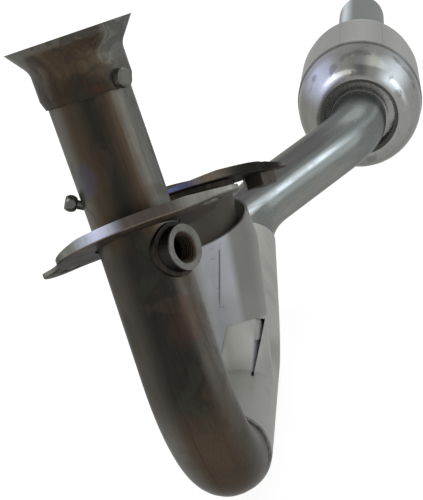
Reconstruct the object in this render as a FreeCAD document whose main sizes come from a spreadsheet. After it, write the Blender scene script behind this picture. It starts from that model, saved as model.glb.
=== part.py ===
"""Exhaust Y-pipe of a transverse V engine, in millimetres, +Z up and +Y towards the tail of the car.

The origin is the centre of the front inlet's flared mouth. The front leg drops from there, turns
under the engine, runs back as the crossover and meets the rear leg inside a light sheet collector.
One outlet tube then rises and turns into a round converter, which lies along +Y with the tail tube
behind it.
"""

import FreeCAD, Part
import math
import os
import Sketcher
from FreeCAD import Placement, Rotation, Vector

doc = FreeCAD.newDocument("ExhaustYPipe")
sheet = doc.addObject("Spreadsheet::Sheet", "Sizes")

# Driving sizes: alias, value, what it is. Lengths are in millimetres and angles in degrees.
SIZES = [
    ("tube_outer", 50.8, "outside diameter of both legs and the outlet tube"),
    ("tube_wall", 1.8, "wall of both legs and the outlet tube"),
    ("mouth_heading", -20.22, "compass turn of the front leg's axis from +X"),
    ("mouth_tilt", 159.16, "angle of the front leg's axis from straight up"),
    ("mouth_roll", -113.15, "turn about the front leg's axis that faces its first bend"),
    ("front_run", 87.0, "front leg, straight from the mouth to the knee"),
    ("knee_angle", 6.4, "slight bend of the front leg"),
    ("knee_radius", 400.0, "radius of that bend"),
    ("drop_run", 79.2, "front leg, straight from the knee to the elbow"),
    ("elbow_roll", 180.0, "turn of the bend plane before the elbow"),
    ("elbow_angle", 97.25, "bend under the engine"),
    ("elbow_radius", 73.0, "radius of the elbow"),
    ("crossover_run", 169.0, "straight crossover under the engine"),
    ("rise_roll", 12.1, "turn of the bend plane before the rise"),
    ("rise_angle", 37.75, "bend where the outlet tube starts to rise"),
    ("rise_radius", 138.0, "radius of that bend"),
    ("rise_run", 66.7, "straight of the rising outlet tube"),
    ("turn_roll", 91.3, "turn of the bend plane before the side bend"),
    ("turn_angle", 49.9, "side bend of the outlet tube"),
    ("turn_radius", 66.0, "radius of the side bend"),
    ("feed_run", 82.6, "straight between the side bend and the converter bend"),
    ("can_roll", 140.5, "turn of the bend plane before the converter bend"),
    ("can_angle", 53.2, "last bend, which brings the tube in line with the converter"),
    ("can_radius", 60.0, "radius of the last bend"),
    ("feed_end", 30.0, "straight end of the outlet tube inside the inlet collar"),
    ("mouth_outer", 78.4, "outside diameter of the flared mouth"),
    ("flare_depth", 11.5, "depth of the flared cone"),
    ("flare_bend", 10.0, "radius of the bend between the flare and the sleeve"),
    ("flare_step", 2.0, "width of that bend"),
    ("flare_foot", 17.5, "distance from the mouth to the end of that bend"),
    ("sleeve_outer", 57.0, "outside diameter of the sleeve behind the flare"),
    ("sleeve_gap", 0.1, "gap between the sleeve and the tube in it"),
    ("sleeve_end", 37.5, "distance from the mouth to the end of the sleeve"),
    ("sleeve_taper", 5.5, "length of the rolled-down end of the sleeve"),
    ("sleeve_end_wall", 1.2, "wall of the sleeve at its very end"),
    ("flare_wall", 2.0, "wall of the flared cone"),
    ("tube_inset", 15.5, "distance from the mouth to the end of the tube in the sleeve"),
    ("plug_place", 33.0, "distance of the sleeve plug from the mouth"),
    ("plug_azimuth", -57.0, "direction of the plug and of the oxygen bung round the leg"),
    ("plug_head", 11.6, "diameter of the plug's round head"),
    ("plug_proud", 4.6, "height of the plug above the sleeve"),
    ("plug_chamfer", 1.2, "chamfer round the plug's head"),
    ("stop_place", 97.0, "distance of the hexagonal stop stud from the mouth"),
    ("stop_azimuth", 76.0, "direction of the stop stud round the leg"),
    ("stop_hex", 8.8, "width across the flats of the stop stud's head"),
    ("stop_head", 7.0, "length of the stop stud's head"),
    ("stop_neck", 5.5, "diameter of the stop stud's neck"),
    ("stop_reach", 10.4, "height of the stop stud above the tube"),
    ("stop_lean", 30.0, "lean of the stop stud towards the mouth"),
    ("flange_half", 75.8, "half the length of a two-bolt flange"),
    ("flange_body", 51.0, "radius of a flange round its bore"),
    ("flange_ear", 12.0, "radius of a flange's ends"),
    ("flange_waist", 34.5, "radius of the hollow between a flange's body and its end"),
    ("loose_pitch", 114.0, "distance between the front flange's two bolt holes"),
    ("fixed_pitch", 104.0, "distance between the rear flange's two bolt holes"),
    ("flange_sheet", 3.2, "sheet of the pressed flanges"),
    ("flange_rim", 6.8, "height of a flange's upturned rim"),
    ("rim_start", 52.0, "place on the long axis where the rim starts to fall, at one end"),
    ("rim_end", 74.0, "place on the long axis where the rim ends, at that end"),
    ("low_start", 4.0, "place where the rim starts to fall, at the other end"),
    ("low_end", 40.0, "place where the rim ends, at the other end"),
    ("bolt_hole", 13.0, "diameter of the bolt holes"),
    ("flange_round", 1.2, "rounding of a flange's bottom edge"),
    ("loose_bore", 54.6, "bore of the loose front flange"),
    ("loose_place", -6.1, "place of the loose flange's underside from the end of the knee"),
    ("loose_tilt", 9.9, "angle at which the loose flange hangs on the tube"),
    ("loose_azimuth", -28.0, "direction in which the loose flange tilts"),
    ("loose_twist", -37.7, "turn of the loose flange's long axis"),
    ("loose_gap", 0.35, "gap between the loose flange and the tube that it hangs on"),
    ("bung_place", 7.0, "distance of the oxygen bung below the knee"),
    ("bung_outer", 27.5, "outside diameter of the oxygen bung"),
    ("bung_bore", 16.4, "bore of the bung, for an M18 x 1.5 thread"),
    ("bung_chamfer", 1.8, "chamfer at the mouth of the bung"),
    ("bung_reach", 34.0, "distance of the bung's face from the tube's axis"),
    ("bung_weld_width", 2.6, "width of the weld round the bung"),
    ("bung_weld_height", 2.4, "height of that weld on the tube"),
    ("leg_place", 104.4, "place of the rear leg along the crossover"),
    ("leg_roll", 5.25, "direction of the rear leg round the crossover"),
    ("leg_angle", 78.07, "angle between the crossover and the rear leg"),
    ("leg_length", 162.5, "rear leg, from the crossover's axis to its open end"),
    ("fixed_setback", 7.3, "distance of the rear flange's underside from the rear leg's open end"),
    ("fixed_tilt", -4.65, "angle at which the rear flange is welded on"),
    ("fixed_azimuth", 76.8, "direction in which the rear flange tilts"),
    ("fixed_twist", 43.8, "turn of the rear flange's long axis"),
    ("fixed_gap", 0.45, "gap between the rear flange and its tube"),
    ("fixed_weld", 4.0, "leg of the fillet weld under the rear flange"),
    ("nut_flats", 23.0, "width across the flats of the weld nuts"),
    ("nut_height", 9.6, "height of the weld nuts"),
    ("nut_bore", 10.2, "bore of the weld nuts, for an M12 thread"),
    ("nut_turn", 12.0, "turn of the weld nuts about their own axis"),
    ("sheet_thick", 1.0, "sheet of the collector and of the leg shield"),
    ("collector_gap", 0.4, "gap between the collector and the tubes in it"),
    ("collector_lead", 9.0, "part of the elbow that the collector covers, in degrees"),
    ("shield_start", 36.0, "lower edge of the leg shield, from the crossover's axis"),
    ("shield_arch", 54.8, "height of the arch in the shield's lower edge"),
    ("arch_top_left", 0.5, "left end of the arch's level edge, seen from the cut's direction"),
    ("arch_low_left", -13.2, "left end of the arch at its foot"),
    ("arch_right", 40.0, "right side of the arch, beyond the shield"),
    ("arch_height", 30.0, "height of the tool that cuts the arch"),
    ("arch_depth", 60.0, "depth of that tool"),
    ("arch_inward", 15.0, "middle of that tool, from the rear leg's axis"),
    ("cut_direction", 7.3, "direction round the rear leg from which the arch and the slot are cut"),
    ("shield_length", 76.0, "length of the leg shield's cone, below its leaning hood"),
    ("shield_base", 30.15, "outside radius of the leg shield at its lower edge"),
    ("shield_top", 36.85, "outside radius of the leg shield at the foot of its hood"),
    ("hood_length", 40.0, "length of the hood before its mouth is cut"),
    ("hood_top", 37.2, "outside radius of the hood's top before its mouth is cut"),
    ("hood_lean", 5.6, "sideways lean of the hood's top"),
    ("hem_depth", 3.0, "depth of the folded hem round the shield's mouth"),
    ("hem_thick", 1.0, "extra thickness of that hem"),
    ("seam_place", 92.0, "middle of the shield's lap seam, from the crossover's axis"),
    ("seam_azimuth", 12.3, "direction of the lap seam round the rear leg"),
    ("seam_length", 54.0, "length of the lap seam's groove"),
    ("seam_slant", -11.8, "slant of the lap seam"),
    ("seam_width", 1.3, "width of the lap seam's groove"),
    ("seam_depth", 0.5, "depth of the lap seam's groove"),
    ("shield_gap", 0.2, "gap between the leg shield and the collector's neck in it"),
    ("shield_lap", 12.0, "length of the collector's neck inside the leg shield"),
    ("neck_foot", 4.0, "distance of the collector neck's foot from the crossover's axis"),
    ("cut_place", 129.4, "place of the slanted mouth on the rear leg's axis"),
    ("cut_azimuth", -20.9, "direction that the slanted mouth faces"),
    ("cut_tilt", 24.8, "slant of the shield's mouth"),
    ("slot_place", 34.5, "height of the collector's slot above the crossover's axis"),
    ("slot_side", 18.2, "sideways offset of the slot"),
    ("slot_inward", 14.0, "middle of the slot's depth, from the rear leg's axis"),
    ("slot_depth", 50.0, "depth of the slot"),
    ("slot_slant", -21.3, "slant of the slot"),
    ("slot_length", 41.0, "length of the slot"),
    ("slot_width", 7.2, "width of the slot at its upper end"),
    ("slot_narrow", 2.0, "width of the slot at its lower end"),
    ("seal_length", 3.0, "length of the weld at each end of the collector"),
    ("seal_height", 1.05, "height of that weld above the tube"),
    ("can_outer", 123.6, "outside diameter of the converter's shell"),
    ("can_wall", 1.5, "sheet of the converter's shell and caps"),
    ("can_start", 74.0, "front edge of the shell, from the end of the last bend"),
    ("can_length", 96.0, "length of the converter's shell"),
    ("cap_depth", 48.0, "depth of a cap's dome"),
    ("cap_width", 23.0, "width of a cap's dome, from its nose to its skirt"),
    ("cap_nose", 15.0, "radius of the dome's nose"),
    ("cap_skirt", 20.0, "length of a cap's straight skirt"),
    ("cap_lap", 8.0, "length of a cap inside the shell"),
    ("lip_drop", 3.3, "inward turn of the front cap's lip"),
    ("lip_depth", 14.0, "depth of the recess round the inlet"),
    ("collar_wall", 1.8, "wall of the inlet collar"),
    ("collar_gap", 0.1, "gap between the outlet tube and the inlet collar"),
    ("collar_front", 14.0, "front edge of the inlet collar, from the end of the last bend"),
    ("collar_length", 26.0, "length of the inlet collar"),
    ("brick_outer", 108.0, "diameter of the ceramic brick"),
    ("brick_length", 74.0, "length of the ceramic brick"),
    ("brick_start", 85.0, "front face of the brick, from the end of the last bend"),
    ("mat_inset", 4.0, "distance of the support mat from the brick's ends"),
    ("mat_gap", 0.1, "gap between the mat and the shell"),
    ("tail_outer", 57.0, "outside diameter of the tail tube"),
    ("tail_wall", 1.8, "wall of the tail tube"),
    ("tail_length", 250.0, "length of the tail tube"),
    ("tail_cone", 22.0, "length of the rear cap's cone behind its shoulder"),
    ("tail_step", 1.0, "how far the tail tube is necked in inside the rear cap and under its weld"),
    ("tail_lap", 12.0, "length of the tail tube inside the rear cap's neck"),
    ("neck_bead", 2.4, "height of the weld beads round the converter's necks"),
]


class Size:
    """A number together with the sheet expression that gives it."""

    def __init__(self, value, text):
        self.value = float(value)
        self.text = text

    def joined(self, sign, other, value):
        return Size(value, f"({self.text} {sign} {getattr(other, 'text', other)})")

    def __add__(self, other):
        return self.joined("+", other, self.value + float(other))

    def __sub__(self, other):
        return self.joined("-", other, self.value - float(other))

    def __mul__(self, other):
        return self.joined("*", other, self.value * float(other))

    def __truediv__(self, other):
        return self.joined("/", other, self.value / float(other))

    def __float__(self):
        return self.value


class Sizes:
    """Every alias of the sheet as an attribute."""


dim = Sizes()
for row, (alias, number, note) in enumerate(SIZES, start=1):
    sheet.set(f"A{row}", note)
    sheet.set(f"B{row}", str(number))
    sheet.setAlias(f"B{row}", alias)
    setattr(dim, alias, Size(number, f"Sizes.{alias}"))
doc.recompute()

X_AXIS = Vector(1, 0, 0)
Y_AXIS = Vector(0, 1, 0)
Z_AXIS = Vector(0, 0, 1)
CLEAR = 300.0  # more than the reach of any cut

tube_radius = dim.tube_outer / 2
tube_bore = tube_radius - dim.tube_wall


# Frames: a frame's +Z is the way the gas flows, or the axis of the piece.
def moved(frame, x=0.0, y=0.0, z=0.0):
    return frame * Placement(Vector(float(x), float(y), float(z)), Rotation())


def turned(frame, axis, angle):
    return frame * Placement(Vector(), Rotation(axis, float(angle)))


def bent(frame, radius, angle):
    """The frame at the end of a bend that turns +Z towards +X."""
    swing = math.radians(float(angle))
    reach = Vector(float(radius) * (1 - math.cos(swing)), 0, float(radius) * math.sin(swing))
    return frame * Placement(reach, Rotation(Y_AXIS, float(angle)))


def radial(frame, place, azimuth):
    """A frame on the tube's axis whose +Z points out through the tube's side."""
    return turned(turned(moved(frame, z=place), Z_AXIS, azimuth), Y_AXIS, 90)


# Primitives and booleans whose sizes stay bound to the sheet.
def bind(item, prop, value):
    if isinstance(value, Size):
        item.setExpression(prop, value.text)
    else:
        setattr(item, prop, value)


def primitive(kind, name, frame, **sizes):
    item = doc.addObject(f"Part::{kind}", name)
    for prop, value in sizes.items():
        bind(item, prop, value)
    item.Placement = frame
    return item


def rod(name, frame, radius, height):
    return primitive("Cylinder", name, frame, Radius=radius, Height=height)


def block(name, frame, length, width, height):
    """A box centred on the frame's origin."""
    corner = moved(frame, -float(length) / 2, -float(width) / 2, -float(height) / 2)
    return primitive("Box", name, corner, Length=length, Width=width, Height=height)


def taper(name, frame, top, foot, height, depth):
    """A four-sided prism centred on the frame; top and foot are its sides' places along Y, X is its depth."""
    down = Placement(Vector(), Rotation(Y_AXIS, Z_AXIS * -1, X_AXIS * -1, "ZXY"))
    return primitive(
        "Wedge",
        name,
        frame * down,
        Xmin=top[0],
        Xmax=top[1],
        X2min=foot[0],
        X2max=foot[1],
        Ymin=height * -0.5,
        Ymax=height * 0.5,
        Zmin=depth * -0.5,
        Zmax=depth * 0.5,
        Z2min=depth * -0.5,
        Z2max=depth * 0.5,
    )


def fused(name, shapes):
    item = doc.addObject("Part::MultiFuse", name)
    item.Shapes = shapes
    item.Refine = True
    return item


def cut(name, base, tool):
    item = doc.addObject("Part::Cut", name)
    item.Base = base
    item.Tool = tool
    item.Refine = True
    return item


def shared(name, base, tool):
    item = doc.addObject("Part::Common", name)
    item.Base = base
    item.Tool = tool
    item.Refine = True
    return item


# Bent tubes: a route is a list of steps (run, roll, radius, angle), as on a bender's table.
def route_end(frame, route):
    for run, roll, radius, angle in route:
        frame = moved(turned(frame, Z_AXIS, roll), z=run)
        frame = bent(frame, radius, angle)
    return frame


def route_solid(name, frame, route, radius):
    """One solid along the route: a cylinder for each run and a piece of torus for each bend."""
    spans = []
    for run, roll, bend_radius, angle in route:
        frame = turned(frame, Z_AXIS, roll)
        if float(run):
            spans.append(rod(f"{name}_run", frame, radius, run))
        frame = moved(frame, z=run)
        if float(angle):
            ring = Rotation(Vector(-1, 0, 0), Z_AXIS, Y_AXIS, "ZXY")
            centre = frame * Placement(Vector(float(bend_radius), 0, 0), ring)
            spans.append(
                primitive("Torus", f"{name}_bend", centre, Radius1=bend_radius, Radius2=radius, Angle3=angle)
            )
            frame = bent(frame, bend_radius, angle)
    return fused(name, spans) if len(spans) > 1 else spans[0]


def bent_tube(name, frame, route, outer, bore):
    skin = route_solid(f"{name}_skin", frame, route, outer)
    hollow = route_solid(f"{name}_hollow", frame, route, bore)
    return cut(f"{name}_blank", skin, hollow)


# Bodies made from sketches.
def new_body(label, frame):
    body = doc.addObject("PartDesign::Body", label)
    body.Label = label
    body.Placement = frame
    return body


def sketch_on(body, role, name):
    sketch = body.newObject("Sketcher::SketchObject", name)
    plane = next(item for item in body.Origin.OriginFeatures if item.Role == role)
    sketch.AttachmentSupport = [(plane, "")]
    sketch.MapMode = "FlatFace"
    return sketch


def bind_constraint(sketch, constraint, value):
    index = sketch.addConstraint(constraint)
    if isinstance(value, Size):
        sketch.setExpression(f"Constraints[{index}]", value.text)


def pin(sketch, edge, end, x, y):
    """Hold a point of the sketch at (x, y) from its origin."""
    for kind, axis, value in (("DistanceX", -2, x), ("DistanceY", -1, y)):
        if float(value) == 0:
            sketch.addConstraint(Sketcher.Constraint("PointOnObject", edge, end, axis))
        else:
            bind_constraint(sketch, Sketcher.Constraint(kind, -1, 1, edge, end, float(value)), value)


def arc_between(start, end, radius, centre_left):
    """The short arc from start to end, its centre left or right of the chord; and if it runs backwards."""
    chord = end - start
    half = chord.Length / 2
    side = Vector(-chord.y, chord.x, 0).normalize() * (1 if centre_left else -1)
    centre = start + chord * 0.5 + side * math.sqrt(max(radius**2 - half**2, 0.0))
    first, last = (start, end) if centre_left else (end, start)
    angles = [math.atan2(point.y - centre.y, point.x - centre.x) for point in (first, last)]
    circle = Part.Circle(centre, Z_AXIS, radius)
    return Part.ArcOfCircle(circle, angles[0], angles[1]), not centre_left


def closed_profile(sketch, corners):
    """Lines, or arcs where a corner also gives (radius, centre_left), through corners (x, y)."""
    points = [Vector(float(corner[0]), float(corner[1]), 0) for corner in corners]
    ends = []
    for index, corner in enumerate(corners):
        start, end = points[index], points[(index + 1) % len(points)]
        if len(corner) == 2:
            sketch.addGeometry(Part.LineSegment(start, end), False)
            ends.append((1, 2))
            continue
        curve, backwards = arc_between(start, end, float(corner[2]), corner[3])
        sketch.addGeometry(curve, False)
        ends.append((2, 1) if backwards else (1, 2))
    for index, corner in enumerate(corners):
        following = (index + 1) % len(corners)
        sketch.addConstraint(
            Sketcher.Constraint("Coincident", index, ends[index][1], following, ends[following][0])
        )
        pin(sketch, index, ends[index][0], corner[0], corner[1])
        if len(corner) > 2:
            bind_constraint(sketch, Sketcher.Constraint("Radius", index, float(corner[2])), corner[2])


def turned_body(label, frame, corners):
    """A body of revolution about the frame's Z; corners are (radius, height)."""
    body = new_body(label, frame)
    sketch = sketch_on(body, "XZ_Plane", f"{label}_profile")
    closed_profile(sketch, corners)
    spin = body.newObject("PartDesign::Revolution", f"{label}_spin")
    spin.Profile = sketch
    spin.ReferenceAxis = (sketch, ["V_Axis"])
    spin.Angle = 360
    body.Tip = spin
    return body


pieces = []


def keep(label, item):
    """Give a finished piece its name and list it for export."""
    item.Label = label
    pieces.append(item)
    return item


# Frames along the pipe.
mouth_turn = Rotation(Z_AXIS, float(dim.mouth_heading)) * Rotation(Y_AXIS, float(dim.mouth_tilt))
mouth = Placement(Vector(), mouth_turn * Rotation(Z_AXIS, float(dim.mouth_roll)))
knee = (dim.front_run, 0, dim.knee_radius, dim.knee_angle)
elbow = (dim.drop_run, dim.elbow_roll, dim.elbow_radius, dim.elbow_angle)
knee_end = route_end(mouth, [knee])
elbow_end = route_end(knee_end, [elbow])
crossover_end = moved(elbow_end, z=dim.crossover_run)
rise = (0, dim.rise_roll, dim.rise_radius, dim.rise_angle)
outlet_route = [
    rise,
    (dim.rise_run, 0, 1, 0),
    (0, dim.turn_roll, dim.turn_radius, dim.turn_angle),
    (dim.feed_run, dim.can_roll, dim.can_radius, dim.can_angle),
    (dim.feed_end, 0, 1, 0),
]
can = route_end(crossover_end, outlet_route[:4])
leg_foot = turned(moved(elbow_end, z=dim.leg_place), Z_AXIS, dim.leg_roll)
leg = turned(leg_foot, Y_AXIS, dim.leg_angle)


# Front leg: flared sleeve, plug, bent tube and stop stud.
def front_sleeve():
    sleeve_radius = dim.sleeve_outer / 2
    mouth_radius = dim.mouth_outer / 2
    bore = tube_radius + dim.sleeve_gap
    corners = [
        (mouth_radius, 0),
        (sleeve_radius + dim.flare_step, dim.flare_depth, dim.flare_bend, False),
        (sleeve_radius, dim.flare_foot),
        (sleeve_radius, dim.sleeve_end - dim.sleeve_taper),
        (bore + dim.sleeve_end_wall, dim.sleeve_end),
        (bore, dim.sleeve_end),
        (bore, dim.tube_inset),
        (bore, dim.flare_depth + dim.flare_wall),
        (mouth_radius - dim.flare_wall, 0),
    ]
    return turned_body("front_flare_sleeve", mouth, corners)


def sleeve_plug():
    seat = radial(mouth, dim.plug_place, dim.plug_azimuth)
    head_radius = dim.plug_head / 2
    top = dim.sleeve_outer / 2 + dim.plug_proud
    shank = rod("plug_shank", seat, head_radius, top - dim.plug_chamfer)
    crown = primitive(
        "Cone",
        "plug_crown",
        moved(seat, z=top - dim.plug_chamfer),
        Radius1=head_radius,
        Radius2=head_radius - dim.plug_chamfer,
        Height=dim.plug_chamfer,
    )
    pin_solid = fused("plug_pin", [shank, crown])
    inside = rod("plug_sleeve_space", moved(mouth, z=-10), dim.sleeve_outer / 2, 100)
    return cut("plug_blank", pin_solid, inside)


def front_tube():
    tube_start = moved(mouth, z=dim.tube_inset)
    route = [
        (dim.front_run - dim.tube_inset, 0, dim.knee_radius, dim.knee_angle),
        elbow,
        (dim.crossover_run, 0, 1, 0),
    ]
    blank = bent_tube("front_tube", tube_start, route, tube_radius, tube_bore)
    bung_hole = rod("bung_hole", radial(knee_end, dim.bung_place, dim.plug_azimuth), dim.bung_bore / 2, CLEAR)
    leg_hole = rod("leg_hole", leg, tube_bore, CLEAR)
    return cut("front_tube_drilled", blank, fused("front_tube_holes", [bung_hole, leg_hole]))


def stop_stud():
    surface = moved(radial(mouth, dim.stop_place, dim.stop_azimuth), z=tube_radius)
    foot = moved(turned(surface, Y_AXIS, dim.stop_lean), z=-3)
    neck = rod("stop_neck", foot, dim.stop_neck / 2, dim.stop_reach + 3)
    head = doc.addObject("Part::Prism", "stop_hexagon")
    head.Polygon = 6
    bind(head, "Circumradius", dim.stop_hex / 3**0.5)
    bind(head, "Height", dim.stop_head)
    head.Placement = moved(foot, z=dim.stop_reach + 3 - dim.stop_head)
    middle = moved(foot, z=dim.stop_reach + 3 - dim.stop_head / 2)
    ball = primitive("Sphere", "stop_rounding", middle, Radius=dim.stop_hex * 0.58)
    stud = fused("stop_blank", [neck, shared("stop_rounded_head", head, ball)])
    return cut("stop_seated", stud, leg_space("stop_tube_space", tube_radius))


# Two-bolt flanges, pressed from sheet with an upturned rim that falls away towards both ends.
def flange_arcs(inset):
    """Tangent arcs of the outline, anticlockwise from the body's top: body, hollow, end, hollow, ..."""
    body, end = float(dim.flange_body) - inset, float(dim.flange_ear) - inset
    hollow = float(dim.flange_waist) + inset
    reach = float(dim.flange_half - dim.flange_ear)
    # The hollow's centre lies at body + hollow from the middle and at end + hollow from the end's centre.
    along = ((body + hollow) ** 2 - (end + hollow) ** 2 + reach**2) / (2 * reach)
    across = math.sqrt((body + hollow) ** 2 - along**2)
    body_angle = math.atan2(across, along)
    end_angle = math.atan2(across, along - reach)
    half_turn = math.pi
    return [
        (0, 0, body, body_angle, half_turn - body_angle),
        (-along, across, hollow, -body_angle, -end_angle),
        (-reach, 0, end, half_turn - end_angle, half_turn + end_angle),
        (-along, -across, hollow, end_angle, body_angle),
        (0, 0, body, half_turn + body_angle, 2 * half_turn - body_angle),
        (along, -across, hollow, half_turn - body_angle, half_turn - end_angle),
        (reach, 0, end, -end_angle, end_angle),
        (along, across, hollow, half_turn + end_angle, half_turn + body_angle),
    ]


def outline(sketch, inset):
    """Draw a flange's outline, moved inwards by the inset, and hold it with constraints."""
    for x, y, radius, start, end in flange_arcs(float(inset)):
        start, end = min(start, end), max(start, end)
        sketch.addGeometry(Part.ArcOfCircle(Part.Circle(Vector(x, y, 0), Z_AXIS, radius), start, end), False)
    hollow_arcs = (1, 3, 5, 7)
    for index in range(8):
        following = (index + 1) % 8
        leaving = 1 if index in hollow_arcs else 2
        entering = 2 if following in hollow_arcs else 1
        sketch.addConstraint(Sketcher.Constraint("Tangent", index, leaving, following, entering))
    radii = {0: dim.flange_body - inset, 2: dim.flange_ear - inset}
    for index in range(8):
        radius = radii.get(index % 4, dim.flange_waist + inset)
        bind_constraint(sketch, Sketcher.Constraint("Radius", index, float(radius)), radius)
    for index in (0, 4):
        sketch.addConstraint(Sketcher.Constraint("Coincident", index, 3, -1, 1))
    reach = dim.flange_half - dim.flange_ear
    for index, ends in ((6, (-1, 1, 6, 3)), (2, (2, 3, -1, 1))):
        sketch.addConstraint(Sketcher.Constraint("PointOnObject", index, 3, -1))
        bind_constraint(sketch, Sketcher.Constraint("DistanceX", *ends, float(reach)), reach)


def flange_holes(sketch, bore, pitch):
    half_pitch = pitch / 2
    for side, diameter in ((0, bore), (1, dim.bolt_hole), (-1, dim.bolt_hole)):
        centre = Vector(side * float(half_pitch), 0, 0)
        index = sketch.addGeometry(Part.Circle(centre, Z_AXIS, float(diameter) / 2), False)
        bind_constraint(sketch, Sketcher.Constraint("Diameter", index, float(diameter)), diameter)
        if side == 0:
            sketch.addConstraint(Sketcher.Constraint("Coincident", index, 3, -1, 1))
            continue
        sketch.addConstraint(Sketcher.Constraint("PointOnObject", index, 3, -1))
        ends = (-1, 1, index, 3) if side > 0 else (index, 3, -1, 1)
        bind_constraint(sketch, Sketcher.Constraint("DistanceX", *ends, float(half_pitch)), half_pitch)


def flange(label, frame, bore, pitch):
    """A flange whose underside is the frame's XY plane and whose long axis is X."""
    body = new_body(label, frame)
    plan = sketch_on(body, "XY_Plane", f"{label}_outline")
    outline(plan, Size(0, "0"))
    flange_holes(plan, bore, pitch)
    plate = body.newObject("PartDesign::Pad", f"{label}_plate")
    plate.Profile = plan
    bind(plate, "Length", dim.flange_rim)

    well = sketch_on(body, "XY_Plane", f"{label}_well")
    well.AttachmentOffset = Placement(Vector(0, 0, float(dim.flange_rim)), Rotation())
    well.setExpression("AttachmentOffset.Base.z", dim.flange_rim.text)
    outline(well, dim.flange_sheet)
    pressing = body.newObject("PartDesign::Pocket", f"{label}_pressing")
    pressing.Profile = well
    bind(pressing, "Length", dim.flange_rim - dim.flange_sheet)

    side = sketch_on(body, "XZ_Plane", f"{label}_side")
    slope_end(side, 1, dim.rim_start, dim.rim_end)
    slope_end(side, -1, dim.low_start, dim.low_end)
    slopes = body.newObject("PartDesign::Pocket", f"{label}_slopes")
    slopes.Profile = side
    slopes.Midplane = True
    bind(slopes, "Length", dim.flange_body * 3)
    body.Tip = slopes
    doc.recompute()

    rounding = body.newObject("PartDesign::Fillet", f"{label}_rounding")
    lower_edges = [
        f"Edge{index}"
        for index, edge in enumerate(slopes.Shape.Edges, start=1)
        if edge.Closed is False and edge.BoundBox.ZMax < 1e-6
    ]
    rounding.Base = (slopes, lower_edges)
    bind(rounding, "Radius", dim.flange_round)
    body.Tip = rounding
    return body


def slope_end(sketch, side, start, end):
    """A four-sided profile at one end of the flange that cuts its rim down to the sheet."""
    low, high, far = dim.flange_sheet, dim.flange_rim, dim.flange_half + 1
    corners = [(start, high), (end, low), (far, low), (far, high)]
    first = sketch.GeometryCount
    points = [Vector(side * float(x), float(y), 0) for x, y in corners]
    for index, point in enumerate(points):
        sketch.addGeometry(Part.LineSegment(point, points[(index + 1) % 4]), False)
    for index, (x, y) in enumerate(corners, start=first):
        sketch.addConstraint(Sketcher.Constraint("Coincident", index, 2, first + (index + 1 - first) % 4, 1))
        ends = (-1, 1, index, 1) if side > 0 else (index, 1, -1, 1)
        bind_constraint(sketch, Sketcher.Constraint("DistanceX", *ends, float(x)), x)
        bind_constraint(sketch, Sketcher.Constraint("DistanceY", -1, 1, index, 1, float(y)), y)


def loose_flange():
    lean = math.radians(float(dim.loose_tilt))
    reach = float(dim.loose_bore) / 2 * math.cos(lean) - float(dim.flange_sheet) * math.sin(lean)
    offset = reach - float(tube_radius) - float(dim.loose_gap)
    frame = turned(moved(knee_end, z=dim.loose_place), Z_AXIS, dim.loose_azimuth)
    frame = turned(moved(frame, x=-offset), Y_AXIS, dim.loose_tilt)
    frame = turned(turned(frame, Z_AXIS, dim.loose_twist), X_AXIS, 180)
    return flange("front_flange", frame, dim.loose_bore, dim.loose_pitch)


# Oxygen sensor bung and its weld.
def bung_frame():
    return radial(knee_end, dim.bung_place, dim.plug_azimuth)


def leg_space(name, radius):
    """The space taken by the front leg's knee and straight drop."""
    start = moved(mouth, z=dim.tube_inset)
    route = [
        (dim.front_run - dim.tube_inset, 0, dim.knee_radius, dim.knee_angle),
        (dim.drop_run, dim.elbow_roll, 1, 0),
    ]
    return route_solid(name, start, route, radius)


def oxygen_bung():
    outer = rod("bung_outer_rod", bung_frame(), dim.bung_outer / 2, dim.bung_reach)
    bore = rod("bung_bore_rod", bung_frame(), dim.bung_bore / 2, CLEAR)
    chamfer = primitive(
        "Cone",
        "bung_mouth",
        moved(bung_frame(), z=dim.bung_reach - dim.bung_chamfer),
        Radius1=dim.bung_bore / 2,
        Radius2=dim.bung_bore / 2 + dim.bung_chamfer,
        Height=dim.bung_chamfer,
    )
    inside = fused("bung_inside", [bore, chamfer])
    return cut("bung_seated", cut("bung_ring", outer, inside), leg_space("bung_tube_space", tube_radius))


def bung_weld():
    ring = rod("bung_weld_rod", bung_frame(), dim.bung_outer / 2 + dim.bung_weld_width, dim.bung_reach)
    hole = rod("bung_weld_hole", bung_frame(), dim.bung_outer / 2, CLEAR)
    bead = cut("bung_weld_ring", ring, hole)
    skin = leg_space("bung_weld_skin", tube_radius + dim.bung_weld_height)
    band = shared("bung_weld_band", bead, skin)
    return cut("bung_weld_blank", band, leg_space("bung_weld_tube", tube_radius))


# Rear leg, its welded flange, weld and nuts.
def crossover_space(name, radius):
    return rod(name, elbow_end, radius, dim.crossover_run)


def rear_tube():
    skin = rod("rear_tube_rod", leg, tube_radius, dim.leg_length)
    blank = cut("rear_tube_blank", skin, rod("rear_tube_bore", leg, tube_bore, dim.leg_length))
    return cut("rear_tube_coped", blank, crossover_space("rear_tube_cope", tube_radius))


def fixed_frame():
    place = dim.leg_length - dim.fixed_setback
    frame = turned(moved(leg, z=place), Z_AXIS, dim.fixed_azimuth)
    return turned(turned(frame, Y_AXIS, dim.fixed_tilt), Z_AXIS, dim.fixed_twist)


def rear_flange():
    return flange("rear_flange", fixed_frame(), (tube_radius + dim.fixed_gap) * 2, dim.fixed_pitch)


def rear_flange_weld():
    collar = primitive(
        "Cone",
        "rear_weld_cone",
        moved(fixed_frame(), z=-float(dim.fixed_weld)),
        Radius1=tube_radius + 1,
        Radius2=tube_radius + dim.fixed_weld,
        Height=dim.fixed_weld,
    )
    return cut("rear_weld_bead", collar, rod("rear_weld_tube", leg, tube_radius, CLEAR))


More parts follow.
